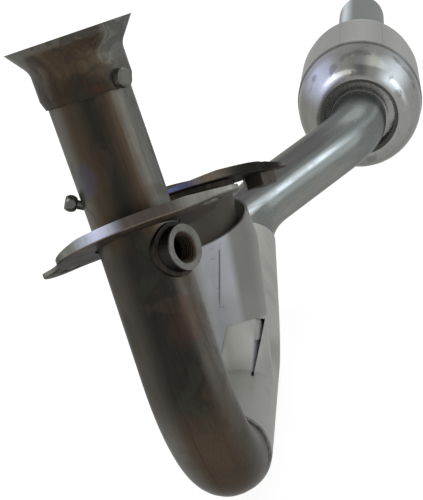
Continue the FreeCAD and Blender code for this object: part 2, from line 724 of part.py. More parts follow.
def weld_nuts():
    nuts = []
    for side in (-0.5, 0.5):
        frame = moved(fixed_frame(), x=float(dim.fixed_pitch) * side, z=-float(dim.nut_height))
        nut = doc.addObject("Part::Prism", "nut_hexagon")
        nut.Polygon = 6
        bind(nut, "Circumradius", dim.nut_flats / 3**0.5)
        bind(nut, "Height", dim.nut_height)
        nut.Placement = turned(frame, Z_AXIS, dim.nut_turn)
        nuts.append(cut("nut_tapped", nut, rod("nut_hole", frame, dim.nut_bore / 2, dim.nut_height)))
    return nuts


# Collector and leg shield, both of light sheet.
def shield_radius(height):
    """Outside radius of the shield's cone at a height above the crossover's axis."""
    slope = (dim.shield_top - dim.shield_base) / dim.shield_length
    return dim.shield_base - (dim.shield_start - height) * slope


def cone(name, low, high, inset):
    return primitive(
        "Cone",
        name,
        moved(leg, z=low),
        Radius1=shield_radius(low) - inset,
        Radius2=shield_radius(high) - inset,
        Height=high - low,
    )


def hood(name, inset):
    """The shield's upper part, which leans to the left: a ruled solid between two level circles."""
    foot = dim.shield_start + dim.shield_length
    top = foot + dim.hood_length
    rings = []
    for height, side, radius in ((foot, 0, dim.shield_top), (top, dim.hood_lean, dim.hood_top)):
        centre = moved(leg, y=-float(side), z=height)
        rings.append(primitive("Circle", f"{name}_ring", centre, Radius=radius - inset))
    item = doc.addObject("Part::Loft", name)
    item.Sections = rings
    item.Solid = True
    item.Ruled = True
    return item


def on_shield(height, azimuth, slant):
    """A frame on the shield's skin: X out of the skin and Z along it, turned by the slant."""
    slope = math.degrees(math.atan2(float(dim.shield_top - dim.shield_base), float(dim.shield_length)))
    frame = moved(turned(moved(leg, z=height), Z_AXIS, azimuth), x=shield_radius(height))
    return turned(turned(frame, Y_AXIS, slope), X_AXIS, slant)


def leg_shield():
    foot = dim.shield_start + dim.shield_length
    skin = fused("shield_skin", [cone("shield_cone", dim.shield_start, foot, 0), hood("shield_hood", 0)])
    inset = dim.sheet_thick + dim.hem_thick
    hem_cone = cone("hem_cone", dim.shield_start, foot, inset)
    core = fused("hem_core", [hem_cone, hood("hem_hood", inset)])
    inner_cone = cone("hollow_cone", dim.shield_start, foot, dim.sheet_thick)
    hollow = fused("shield_hollow", [inner_cone, hood("hollow_hood", dim.sheet_thick)])
    slanted = turned(turned(moved(leg, z=dim.cut_place), Z_AXIS, dim.cut_azimuth), Y_AXIS, dim.cut_tilt)
    below = rod("below_hem", moved(slanted, z=-CLEAR - float(dim.hem_depth)), CLEAR / 3, CLEAR)
    sheet = cut("shield_hemmed", cut("shield_blank", skin, core), shared("hollow_below_hem", hollow, below))
    above = rod("shield_mouth_cut", slanted, CLEAR / 3, CLEAR / 2)
    arch_frame = moved(leg, z=float(dim.shield_arch) - float(dim.arch_height) / 2)
    arch_frame = moved(turned(arch_frame, Z_AXIS, dim.cut_direction), x=dim.arch_inward)
    top, foot = (dim.arch_top_left, dim.arch_right), (dim.arch_low_left, dim.arch_right)
    arch = taper("arch_tool", arch_frame, top, foot, dim.arch_height, dim.arch_depth)
    seam = on_shield(dim.seam_place, dim.seam_azimuth, dim.seam_slant)
    groove = block("seam_tool", seam, dim.seam_depth * 2, dim.seam_width, dim.seam_length)
    return cut("shield_open", sheet, fused("shield_tools", [above, arch, groove]))


def collector():
    bore = tube_radius + dim.collector_gap
    lead = turned(knee_end, Z_AXIS, dim.elbow_roll)
    lead = bent(moved(lead, z=dim.drop_run), dim.elbow_radius, dim.elbow_angle - dim.collector_lead)
    route = [
        (0, 0, dim.elbow_radius, dim.collector_lead),
        (dim.crossover_run, 0, 1, 0),
        rise,
        (dim.rise_run, 0, 1, 0),
    ]
    neck_top = dim.shield_arch + dim.shield_lap
    neck_inset = dim.sheet_thick + dim.shield_gap
    skin_route = route_solid("collector_skin", lead, route, bore + dim.sheet_thick)
    skin_neck = cone("collector_neck", dim.neck_foot, neck_top, neck_inset)
    hollow_route = route_solid("collector_hollow", lead, route, bore)
    hollow_neck = cone("collector_neck_hollow", dim.neck_foot, neck_top, neck_inset + dim.sheet_thick)
    skin = fused("collector_outside", [skin_route, skin_neck])
    leg_rod = rod("collector_leg_space", leg, tube_radius + dim.collector_gap / 2, neck_top)
    hollow = fused("collector_inside", [hollow_route, hollow_neck, leg_rod])
    return cut("collector_shell", skin, hollow), lead, route_end(lead, route)


def collector_half(label, shell, side):
    slab = block(f"{label}_side", moved(leg, y=side * CLEAR / 2), 2 * CLEAR, CLEAR, 2 * CLEAR)
    return shared(f"{label}_half", shell, slab)


def collector_slot():
    """A slot that narrows downwards."""
    frame = turned(moved(leg, z=dim.slot_place), Z_AXIS, dim.cut_direction)
    frame = turned(moved(frame, x=dim.slot_inward, y=dim.slot_side), X_AXIS, dim.slot_slant)
    top = (dim.slot_width * -0.5, dim.slot_width * 0.5)
    foot = (dim.slot_narrow * -0.5, dim.slot_narrow * 0.5)
    return taper("slot_tool", frame, top, foot, dim.slot_length, dim.slot_depth)


def end_weld(name, frame):
    """A flat bead on the tube against the collector's end; +Z of the frame points away from the collector."""
    ring = rod(f"{name}_ring", frame, tube_radius + dim.seal_height, dim.seal_length)
    elbow_space = [(0, 0, dim.elbow_radius, dim.collector_lead)]
    return cut(f"{name}_bead", ring, route_solid(f"{name}_tube", frame, elbow_space, tube_radius))


# Converter, along the axis of the last bend's end. A cap's dome is two tangent arcs, its nose and its side.
can_radius = dim.can_outer / 2
cap_radius = can_radius - dim.can_wall
lip_radius = cap_radius - dim.cap_width
side_radius = (
    dim.cap_width * dim.cap_width + dim.cap_depth * dim.cap_depth - dim.cap_nose * dim.cap_depth * 2
) / ((dim.cap_width - dim.cap_nose) * 2)
side_share = (side_radius - dim.cap_width) / (side_radius - dim.cap_nose)
nose_share = (dim.cap_depth - dim.cap_nose) / (side_radius - dim.cap_nose)
cap_front = dim.can_start + dim.cap_lap - dim.cap_skirt - dim.cap_depth
can_back = dim.can_start + dim.can_length
cap_back = can_back - dim.cap_lap + dim.cap_skirt + dim.cap_depth


def dome(shoulder, towards, inset):
    """The dome's corners from nose to skirt; towards is -1 for a nose at lower heights, else 1."""
    nose = dim.cap_nose - inset
    side = side_radius - inset
    middle = shoulder + (dim.cap_depth - dim.cap_nose) * towards
    return [
        (lip_radius, middle + nose * towards, nose, towards < 0),
        (lip_radius + nose * side_share, middle + nose * nose_share * towards, side, towards < 0),
        (cap_radius - inset, shoulder),
    ]


def inlet_cap():
    shoulder = cap_front + dim.cap_depth
    skirt = shoulder + dim.cap_skirt
    lip_inner = lip_radius - dim.lip_drop
    recess = cap_front + dim.lip_depth
    inner = dome(shoulder, -1, dim.can_wall)
    nose, join, foot = inner
    corners = [
        *dome(shoulder, -1, 0),
        (cap_radius, skirt),
        (cap_radius - dim.can_wall, skirt),
        (foot[0], foot[1], side_radius - dim.can_wall, False),
        (join[0], join[1], dim.cap_nose - dim.can_wall, False),
        (nose[0], nose[1]),
        (lip_inner + dim.can_wall, cap_front + dim.lip_drop),
        (lip_inner + dim.can_wall, recess),
        (lip_inner, recess),
        (lip_inner, cap_front + dim.lip_drop - dim.can_wall / 2),
    ]
    return turned_body("converter_inlet_cap", can, corners)


def inlet_collar():
    bore = tube_radius + dim.collar_gap
    outer = bore + dim.collar_wall
    rim = lip_radius - dim.lip_drop
    floor = cap_front + dim.lip_depth
    back = dim.collar_front + dim.collar_length
    corners = [
        (bore, dim.collar_front),
        (outer, dim.collar_front),
        (outer, floor - dim.collar_wall),
        (rim, floor - dim.collar_wall),
        (rim, floor),
        (outer, floor),
        (outer, back),
        (bore, back),
    ]
    return turned_body("inlet_collar", can, corners)


def ring_body(label, low, length, inner, outer):
    corners = [(inner, low), (outer, low), (outer, low + length), (inner, low + length)]
    return turned_body(label, can, corners)


def brick():
    corners = [
        (0, dim.brick_start),
        (dim.brick_outer / 2, dim.brick_start),
        (dim.brick_outer / 2, dim.brick_start + dim.brick_length),
        (0, dim.brick_start + dim.brick_length),
    ]
    return turned_body("ceramic_brick", can, corners)


tail_radius = dim.tail_outer / 2
neck_bend = cap_back + dim.tail_cone


def outlet_cap():
    shoulder = cap_back - dim.cap_depth
    neck = tail_radius - dim.tail_step + dim.collar_gap
    outer_nose, outer_join, _ = dome(shoulder, 1, 0)
    inner_nose, inner_join, inner_foot = dome(shoulder, 1, dim.can_wall)
    corners = [
        (cap_radius, shoulder - dim.cap_skirt),
        (cap_radius, shoulder, side_radius, True),
        (outer_join[0], outer_join[1], dim.cap_nose, True),
        (outer_nose[0], outer_nose[1]),
        (neck + dim.can_wall, neck_bend),
        (neck + dim.can_wall, neck_bend + dim.tail_lap),
        (neck, neck_bend + dim.tail_lap),
        (neck, neck_bend),
        (inner_nose[0], inner_nose[1], dim.cap_nose - dim.can_wall, False),
        (inner_join[0], inner_join[1], side_radius - dim.can_wall, False),
        (inner_foot[0], inner_foot[1]),
        (cap_radius - dim.can_wall, shoulder - dim.cap_skirt),
    ]
    return turned_body("converter_outlet_cap", can, corners)


def tail_tube(start):
    inner = tail_radius - dim.tail_wall
    necked = start + dim.tail_lap + dim.neck_bead
    full, end = necked + dim.tail_step, start + dim.tail_length
    corners = [(inner - dim.tail_step, start), (tail_radius - dim.tail_step, start)]
    corners += [(tail_radius - dim.tail_step, necked), (tail_radius, full), (tail_radius, end)]
    corners += [(inner, end), (inner, full), (inner - dim.tail_step, necked)]
    return turned_body("tail_tube", can, corners)


def bead(label, place, radius):
    """A three-sided weld bead round a tube that leaves a neck along +Z."""
    corners = [(radius, place), (radius + dim.neck_bead, place), (radius, place + dim.neck_bead)]
    return turned_body(label, can, corners)


keep("front_flare_sleeve", front_sleeve())
keep("sleeve_plug", sleeve_plug())
keep("front_tube", front_tube())
keep("stop_stud", stop_stud())
keep("front_flange", loose_flange())
keep("oxygen_bung", oxygen_bung())
keep("bung_weld", bung_weld())
keep("rear_tube", rear_tube())
keep("rear_flange", rear_flange())
keep("rear_flange_weld", rear_flange_weld())
for name, nut in zip(("weld_nut_left", "weld_nut_right"), weld_nuts()):
    keep(name, nut)
keep("leg_shield", leg_shield())
shell, collector_start, collector_stop = collector()
keep("collector_left", collector_half("collector_left", shell, -1))
slotted = cut("collector_slotted", collector_half("collector_right", shell, 1), collector_slot())
keep("collector_right", slotted)
keep("collector_front_weld", end_weld("collector_front_weld", turned(collector_start, X_AXIS, 180)))
keep("outlet_tube", bent_tube("outlet_tube", crossover_end, outlet_route, tube_radius, tube_bore))
keep("converter_inlet_cap", inlet_cap())
keep("inlet_collar", inlet_collar())
keep("converter_shell", ring_body("converter_shell", dim.can_start, dim.can_length, cap_radius, can_radius))
keep("ceramic_brick", brick())
mat_length = dim.brick_length - dim.mat_inset * 2
mat_start = dim.brick_start + dim.mat_inset
mat_outer = cap_radius - dim.mat_gap
keep("support_mat", ring_body("support_mat", mat_start, mat_length, dim.brick_outer / 2, mat_outer))
keep("converter_outlet_cap", outlet_cap())
tail_start = neck_bend
keep("tail_tube", tail_tube(tail_start))
keep("tail_weld", bead("tail_weld", neck_bend + dim.tail_lap, tail_radius - dim.tail_step))

doc.recompute()
for item in doc.Objects:
    if "Invalid" in item.State or "Error" in item.State:
        raise RuntimeError(f"{item.Label} failed: {item.State}")
for item in pieces:
    if item.Shape.isNull() or not item.Shape.isValid():
        raise RuntimeError(f"{item.Label} has no valid shape")

os.makedirs("parts", exist_ok=True)
for item in pieces:
    item.Shape.exportStep(os.path.join("parts", f"{item.Label}.step"))
    print(item.Label, len(item.Shape.Solids), round(item.Shape.Volume))
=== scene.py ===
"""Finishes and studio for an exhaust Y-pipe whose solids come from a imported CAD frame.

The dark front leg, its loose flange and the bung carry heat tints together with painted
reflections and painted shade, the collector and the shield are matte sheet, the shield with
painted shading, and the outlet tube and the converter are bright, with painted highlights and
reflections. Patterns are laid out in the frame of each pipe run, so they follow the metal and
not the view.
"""

import math

import bpy
from mathutils import Matrix, Vector


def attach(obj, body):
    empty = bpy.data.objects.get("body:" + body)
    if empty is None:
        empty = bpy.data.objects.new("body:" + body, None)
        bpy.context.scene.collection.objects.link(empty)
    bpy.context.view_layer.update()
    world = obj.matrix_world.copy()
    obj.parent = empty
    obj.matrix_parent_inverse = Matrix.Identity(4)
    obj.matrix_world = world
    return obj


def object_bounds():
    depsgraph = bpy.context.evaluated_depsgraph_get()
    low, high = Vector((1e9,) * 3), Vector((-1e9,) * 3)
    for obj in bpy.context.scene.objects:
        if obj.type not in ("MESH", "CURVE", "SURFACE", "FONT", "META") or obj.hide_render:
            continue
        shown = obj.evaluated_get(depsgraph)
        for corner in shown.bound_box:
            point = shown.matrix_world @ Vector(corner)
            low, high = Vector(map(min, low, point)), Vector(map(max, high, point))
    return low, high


bl_info = {
    "name": "Exhaust Y-pipe finishes",
    "version": (1, 0, 0),
    "blender": (4, 5, 0),
    "location": "View3D > Sidebar > Y-pipe",
    "description": "Steel finishes, weld beads and a studio for an exhaust Y-pipe",
    "category": "Object",
}

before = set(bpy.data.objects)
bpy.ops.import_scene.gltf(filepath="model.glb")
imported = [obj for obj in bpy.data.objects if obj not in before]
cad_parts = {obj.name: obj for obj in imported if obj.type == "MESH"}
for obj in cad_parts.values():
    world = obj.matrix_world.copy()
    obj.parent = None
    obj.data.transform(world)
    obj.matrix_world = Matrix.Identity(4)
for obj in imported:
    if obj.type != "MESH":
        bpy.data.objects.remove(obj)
cad_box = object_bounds()

# Frames of the pipe's runs, in metres: a place on the axis, a direction out of it and the way it runs.
RUNS = {
    "mouth": ((0, 0, 0), (0.02698, -0.9898, 0.13986), (0.33383, -0.12296, -0.93458)),
    "drop": ((0.070509, -0.037063, -0.194953), (0.0104, 0.96993, -0.24317), (0.33476, -0.23253, -0.91316)),
    "leg": ((0.092273, 0.129353, -0.294225), (-0.01957, -0.94646, 0.32224), (-0.24707, 0.31688, 0.91572)),
    "outlet": ((0.152144, 0.431996, -0.189848), (-0.51691, 0.80153, -0.3006), (0.69249, 0.59796, 0.40361)),
    "can": ((0.172978, 0.480008, -0.177689), (-0.86414, 0.00133, -0.50325), (0.00091, 1.0, 0.00107)),
    "loose_flange": ((0.04161, -0.016576, -0.117352), (0.8038, -0.2923, 0.5181), (-0.4043, 0.3705, 0.8362)),
    "fixed_flange": (
        (0.053927, 0.178533, -0.152105),
        (0.82716, 0.5538, 0.09544),
        (-0.32236, 0.32849, 0.88779),
    ),
    "bung": ((0.046339, -0.020275, -0.129022), (-0.33476, 0.23253, 0.91316), (0.78457, -0.46795, 0.40678)),
}
# The angle about each run, in degrees, of the side that its tints and its painted reflections and shade are
# centred on.
FACING = {"mouth": -11.25, "drop": 168.85, "leg": 7.3, "outlet": 164.5, "can": 119.3}

# Radii of the bends that follow two runs, in metres.
ELBOW_BEND = 0.073
INLET_BEND = 0.060

# The added pieces, in metres. A place is a distance along the axis of the piece's run.
BORE_RADIUS = 0.0082
THREAD_PLACE = 0.0225
THREAD_TURNS = 6
THREAD_STEPS = 48
LINER_RADIUS = 0.0274
LINER_LENGTH = 0.016
LINER_PLACE = 0.047
LINER_WALL = 0.0005

# The photograph's view: the camera's place, its right, down and forward directions and its lens.
VIEW_PLACE = (0.16621, -0.75625, 0.15908)
VIEW_RIGHT = (0.99417, 0.1079, 0.0)
VIEW_DOWN = (0.03839, -0.35367, -0.93459)
VIEW_AHEAD = (-0.10084, 0.92913, -0.35575)
VIEW_LENS = 96.19
FLOOR_GAP = 0.0005


def shade(red, green, blue):
    """A display colour of 0 to 255 per channel as a linear colour."""
    out = []
    for channel in (red, green, blue):
        c = channel / 255
        out.append(c / 12.92 if c <= 0.04045 else ((c + 0.055) / 1.055) ** 2.4)
    return (*out, 1.0)


def scaled(colour, factor):
    """The colour with its three channels multiplied."""
    return (*(channel * factor for channel in colour[:3]), 1.0)


def run_turn(run):
    """The run's rotation, from its own axes to the world's."""
    _, out, along = RUNS[run]
    z = Vector(along).normalized()
    x = (Vector(out) - z * Vector(out).dot(z)).normalized()
    return Matrix((x, z.cross(x), z)).transposed()


def colour_prop(name, text, colour):
    return bpy.props.FloatVectorProperty(
        name=name, description=text, subtype="COLOR", size=4, min=0, max=1, default=shade(*colour)
    )


class DarkLegFinish(bpy.types.PropertyGroup):
    """Tones of the heat-tinted front leg, its flare and its bung, which also paint their reflection bands,
    highlights and shade.
    """

    # Soot also paints the dark reflection band down the leg's middle, and painted shade on the bung's wall
    # and on the welded flange.
    soot_and_shade: colour_prop("Soot", "Darkest band of the front leg", (40, 38, 35))
    # Brown also paints the brown reflection bands of the leg and the flare, and painted shade in the bung's
    # bore and under the welded flange.
    brown: colour_prop("Brown", "Brown heat tint", (65, 55, 44))
    # Worn paints the lighter reflection bands beside the dark band, and the painted shade of the rear tube.
    worn: colour_prop("Worn", "Worn steel beside the dark band", (75, 71, 65))
    # Grey paints the leg's light sides as painted reflections, the flare's painted highlights and the bung's
    # face as painted light; it is also the plug's and the stud's own colour.
    grey: colour_prop("Grey", "Bare steel at the leg's sides", (100, 100, 95))
    straw: colour_prop("Straw", "Straw-coloured heat tint", (85, 76, 60))
    rust: colour_prop("Rust", "Reddish heat tint", (75, 50, 40))
    olive: colour_prop("Olive", "Greenish heat tint", (50, 55, 45))
    blue: colour_prop("Blue", "Blue heat tint", (60, 65, 90))
    roughness: bpy.props.FloatProperty(
        name="Roughness",
        description="Roughness of the leg",
        default=0.36,
        min=0,
        max=1,
        subtype="FACTOR",
    )


class FlangeFinish(bpy.types.PropertyGroup):
    """Tones of the two pressed flanges, which also paint the reflections along their rims and the shade of
    their undersides.
    """

    plate: colour_prop("Plate", "Bare plate", (115, 115, 110))
    # Lilac is a painted highlight on the loose flange's rim.
    lilac_highlight: colour_prop("Lilac", "Bright lilac tint of a rim", (180, 185, 205))
    # Blue is a painted reflection at one end of the welded flange's rim.
    blue: colour_prop("Blue", "Blue tint of a rim", (80, 90, 120))
    # Burnt paints the darker reflection along the loose flange's rim and painted shade on its underside; the
    # nuts take this colour too.
    burnt: colour_prop("Burnt", "Dark burnt plate", (70, 65, 60))
    # Copper is part of the painted reflections along the welded flange's rim and of the painted shade on the
    # loose flange's underside.
    copper: colour_prop("Copper", "Warm brown plate", (100, 90, 80))
    # Pale ends the painted reflections along both rims.
    pale: colour_prop("Pale", "Worn ends of a rim", (135, 135, 130))


class SheetFinish(bpy.types.PropertyGroup):
    """Tones of the matte sheet collector and shield, which also paint the shield's shading."""

    # Cool grey is the lit front of the shield's painted shading, and painted light on the rear tube by the
    # collector's slot.
    cool: colour_prop("Cool grey", "Front of the shield", (160, 162, 168))
    warm: colour_prop("Warm grey", "Front of the collector", (145, 145, 140))
    # Dull grey also paints the shade on the shield's sides.
    dull: colour_prop("Dull grey", "Sides of the shield and far end of the collector", (130, 130, 125))
    deep: colour_prop("Deep grey", "Shaded band of the shield", (112, 112, 108))
    shadow: colour_prop("Shadow", "Streaks, tick marks and the groove", (115, 120, 125))
    panel: colour_prop("Panel", "Collector's neck", (165, 165, 160))
    # Inside is painted light on the inner side of the shield's mouth.
    inside: colour_prop("Inside", "Inside of the shield's mouth", (195, 195, 185))
    roughness: bpy.props.FloatProperty(
        name="Roughness",
        description="Roughness of the sheet",
        default=0.52,
        min=0,
        max=1,
        subtype="FACTOR",
    )


class BrightFinish(bpy.types.PropertyGroup):
    """Tones of the polished outlet tube and the converter, mostly their painted highlights and reflections.
    """

    mirror: colour_prop("Highlight", "Bright reflections", (205, 215, 220))
    lilac_highlight: colour_prop("Lilac", "Lilac reflection of the converter's dome", (190, 195, 220))
    dusk: colour_prop("Dusk", "Dark reflections", (85, 85, 85))
    tube: colour_prop("Tube", "Polished tube between its reflections", (105, 110, 108))
    cap: colour_prop("Cap", "Far sides of the converter and the tail", (125, 125, 120))
    shell: colour_prop("Shell", "Matte shell of the converter", (140, 140, 138))
    # Sheen paints the shell's highlight strips and painted light on the collar in the recess.
    sheen: colour_prop("Satin", "Lighter strips of the shell", (152, 152, 150))
    roughness: bpy.props.FloatProperty(
        name="Roughness",
        description="Roughness of the polished steel",
        default=0.28,
        min=0,
        max=1,
        subtype="FACTOR",
    )


class BeadSizes(bpy.types.PropertyGroup):
    """Sizes of the bung's thread."""

    pitch: bpy.props.FloatProperty(
        name="Thread pitch",
        description="Pitch of the bung's thread",
        default=0.0015,
        min=0.0005,
        unit="LENGTH",
    )
    thread: bpy.props.FloatProperty(
        name="Thread depth",
        description="Depth of the bung's thread",
        default=0.0006,
        min=0.0002,
        unit="LENGTH",
    )


class StudioSizes(bpy.types.PropertyGroup):
    """Light levels and the floor."""

    key: bpy.props.FloatProperty(
        name="Key light", description="Power of the key light", default=13, min=0, unit="POWER"
    )
    fill: bpy.props.FloatProperty(
        name="Fill light", description="Power of the fill light", default=5, min=0, unit="POWER"
    )
    ambient: bpy.props.FloatProperty(
        name="Ambient", description="Strength of the world's light", default=0.62, min=0
    )
    floor: bpy.props.FloatProperty(
        name="Floor", description="Width of the floor", default=12, min=1, unit="LENGTH"
    )


# Shader tools.
class Tree:
    """A short way to add nodes to a node tree and join them."""

    def __init__(self, tree):
        self.tree = tree

    def add(self, kind, inputs=None, **settings):
        node = self.tree.nodes.new(kind)
        for name, value in settings.items():
            setattr(node, name, value)
        for name, value in (inputs or {}).items():
            if isinstance(value, bpy.types.NodeSocket):
                self.tree.links.new(value, node.inputs[name])
            else:
                node.inputs[name].default_value = value
        return node

    def math(self, operation, *values):
        node = self.tree.nodes.new("ShaderNodeMath")
        node.operation = operation
        for socket, value in zip(node.inputs, values):
            if isinstance(value, bpy.types.NodeSocket):
                self.tree.links.new(value, socket)
            else:
                socket.default_value = value
        return node.outputs[0]

    def mix(self, factor, first, second, blend="MIX"):
        node = self.tree.nodes.new("ShaderNodeMix")
        node.data_type = "RGBA"
        node.blend_type = blend
        for socket, value in ((node.inputs[0], factor), (node.inputs[6], first), (node.inputs[7], second)):
            if isinstance(value, bpy.types.NodeSocket):
                self.tree.links.new(value, socket)
            else:
                socket.default_value = value
        return node.outputs[2]

    def ramp(self, factor, stops, smooth="EASE"):
        node = self.tree.nodes.new("ShaderNodeValToRGB")
        node.color_ramp.interpolation = smooth
        elements = node.color_ramp.elements
        while len(elements) > 1:
            elements.remove(elements[-1])
        elements[0].position, elements[0].color = stops[0]
        for place, colour in stops[1:]:
            elements.new(place).color = colour
        self.tree.links.new(factor, node.inputs[0])
        return node.outputs[0]

    def stretch(self, vector, factors):
        """The vector with each of its axes multiplied."""
        node = self.add("ShaderNodeVectorMath", {0: vector, 1: factors}, operation="MULTIPLY")
        return node.outputs[0]

    def band(self, value, low, high, soft):
        """1 between low and high, fading over soft on both sides."""
        up = self.step(value, low - soft, low + soft)
        down = self.step(value, high + soft, high - soft)
        return self.math("MULTIPLY", up, down)

    def step(self, value, start, end):
        node = self.tree.nodes.new("ShaderNodeMapRange")
        node.interpolation_type = "SMOOTHSTEP"
        self.tree.links.new(value, node.inputs[0])
        flip = start > end
        node.inputs[1].default_value, node.inputs[2].default_value = min(start, end), max(start, end)
        node.inputs[3].default_value, node.inputs[4].default_value = (1, 0) if flip else (0, 1)
        return node.outputs[0]


def new_group(name, inputs, outputs):
    group = bpy.data.node_groups.new(name, "ShaderNodeTree")
    for label, kind, value in inputs:
        socket = group.interface.new_socket(label, in_out="INPUT", socket_type=kind)
        if value is not None:
            socket.default_value = value
    for label, kind in outputs:
        group.interface.new_socket(label, in_out="OUTPUT", socket_type=kind)
    return group, group.nodes.new("NodeGroupInput").outputs, group.nodes.new("NodeGroupOutput").inputs


def pipe_group():
    """Where a point lies round and along a pipe run, and round the bend that follows the run."""
    name = "Round a Pipe"
    if name in bpy.data.node_groups:
        return bpy.data.node_groups[name]
    number = "NodeSocketFloat"
    group, given, out = new_group(
        name,
        [("Vector", "NodeSocketVector", None), ("Facing", number, 0.0), ("Bend Radius", number, 0.0)],
        [("Across", number), ("Toward", number), ("Around", number), ("Along", number), ("Radius", number)],
    )
    t = Tree(group)
    split = t.add("ShaderNodeSeparateXYZ", {"Vector": given["Vector"]}).outputs
    x, y, z = split[0], split[1], split[2]
    bend = given["Bend Radius"]
    inward = t.math("SUBTRACT", bend, x)
    reach = t.math("SQRT", t.math("ADD", t.math("MULTIPLY", inward, inward), t.math("MULTIPLY", z, z)))
    bent_x = t.math("SUBTRACT", bend, reach)
    past = t.math("MULTIPLY", t.math("GREATER_THAN", z, 0.0), t.math("GREATER_THAN", bend, 0.001))
    kept = t.math("SUBTRACT", 1.0, past)
    level = t.math("ADD", t.math("MULTIPLY", x, kept), t.math("MULTIPLY", bent_x, past))
    arc = t.math("MULTIPLY", bend, t.math("ARCTAN2", z, inward))
    along = t.math("ADD", t.math("MULTIPLY", z, kept), t.math("MULTIPLY", arc, past))
    radius = t.math("SQRT", t.math("ADD", t.math("MULTIPLY", level, level), t.math("MULTIPLY", y, y)))
    safe = t.math("MAXIMUM", radius, 1e-5)
    cos, sin = t.math("COSINE", given["Facing"]), t.math("SINE", given["Facing"])
    side = t.math("SUBTRACT", t.math("MULTIPLY", y, cos), t.math("MULTIPLY", level, sin))
    toward = t.math("ADD", t.math("MULTIPLY", level, cos), t.math("MULTIPLY", y, sin))
    turn = t.math("DIVIDE", t.math("ARCTAN2", side, toward), math.tau)
    for socket, value in (
        (out["Across"], t.math("MULTIPLY_ADD", t.math("DIVIDE", side, safe), 0.5, 0.5)),
        (out["Toward"], t.math("DIVIDE", toward, safe)),
        (out["Around"], t.math("ADD", turn, 0.5)),
        (out["Along"], along),
        (out["Radius"], radius),
    ):
        group.links.new(value, socket)
    return group


def grain_group():
    """Drawing lines along a run and soft blotches."""
    name = "Drawn Steel"
    if name in bpy.data.node_groups:
        return bpy.data.node_groups[name]
    number = "NodeSocketFloat"
    group, given, out = new_group(
        name,
        [
            ("Vector", "NodeSocketVector", None),
            ("Grain Scale", number, 900.0),
            ("Blotch Scale", number, 40.0),
        ],
        [("Lines", number), ("Blotches", number)],
    )
    t = Tree(group)
    drawn = t.stretch(given["Vector"], (1, 1, 0.06))
    lines = t.add("ShaderNodeTexNoise", {"Vector": drawn, "Scale": given["Grain Scale"], "Detail": 3.0})
    wide = t.stretch(given["Vector"], (1, 1, 0.45))
    blotch = t.add(
        "ShaderNodeTexNoise",
        {"Vector": wide, "Scale": given["Blotch Scale"], "Detail": 5.0, "Roughness": 0.6, "Distortion": 0.6},
    )
    group.links.new(lines.outputs[0], out["Lines"])
    group.links.new(blotch.outputs[0], out["Blotches"])
    return group


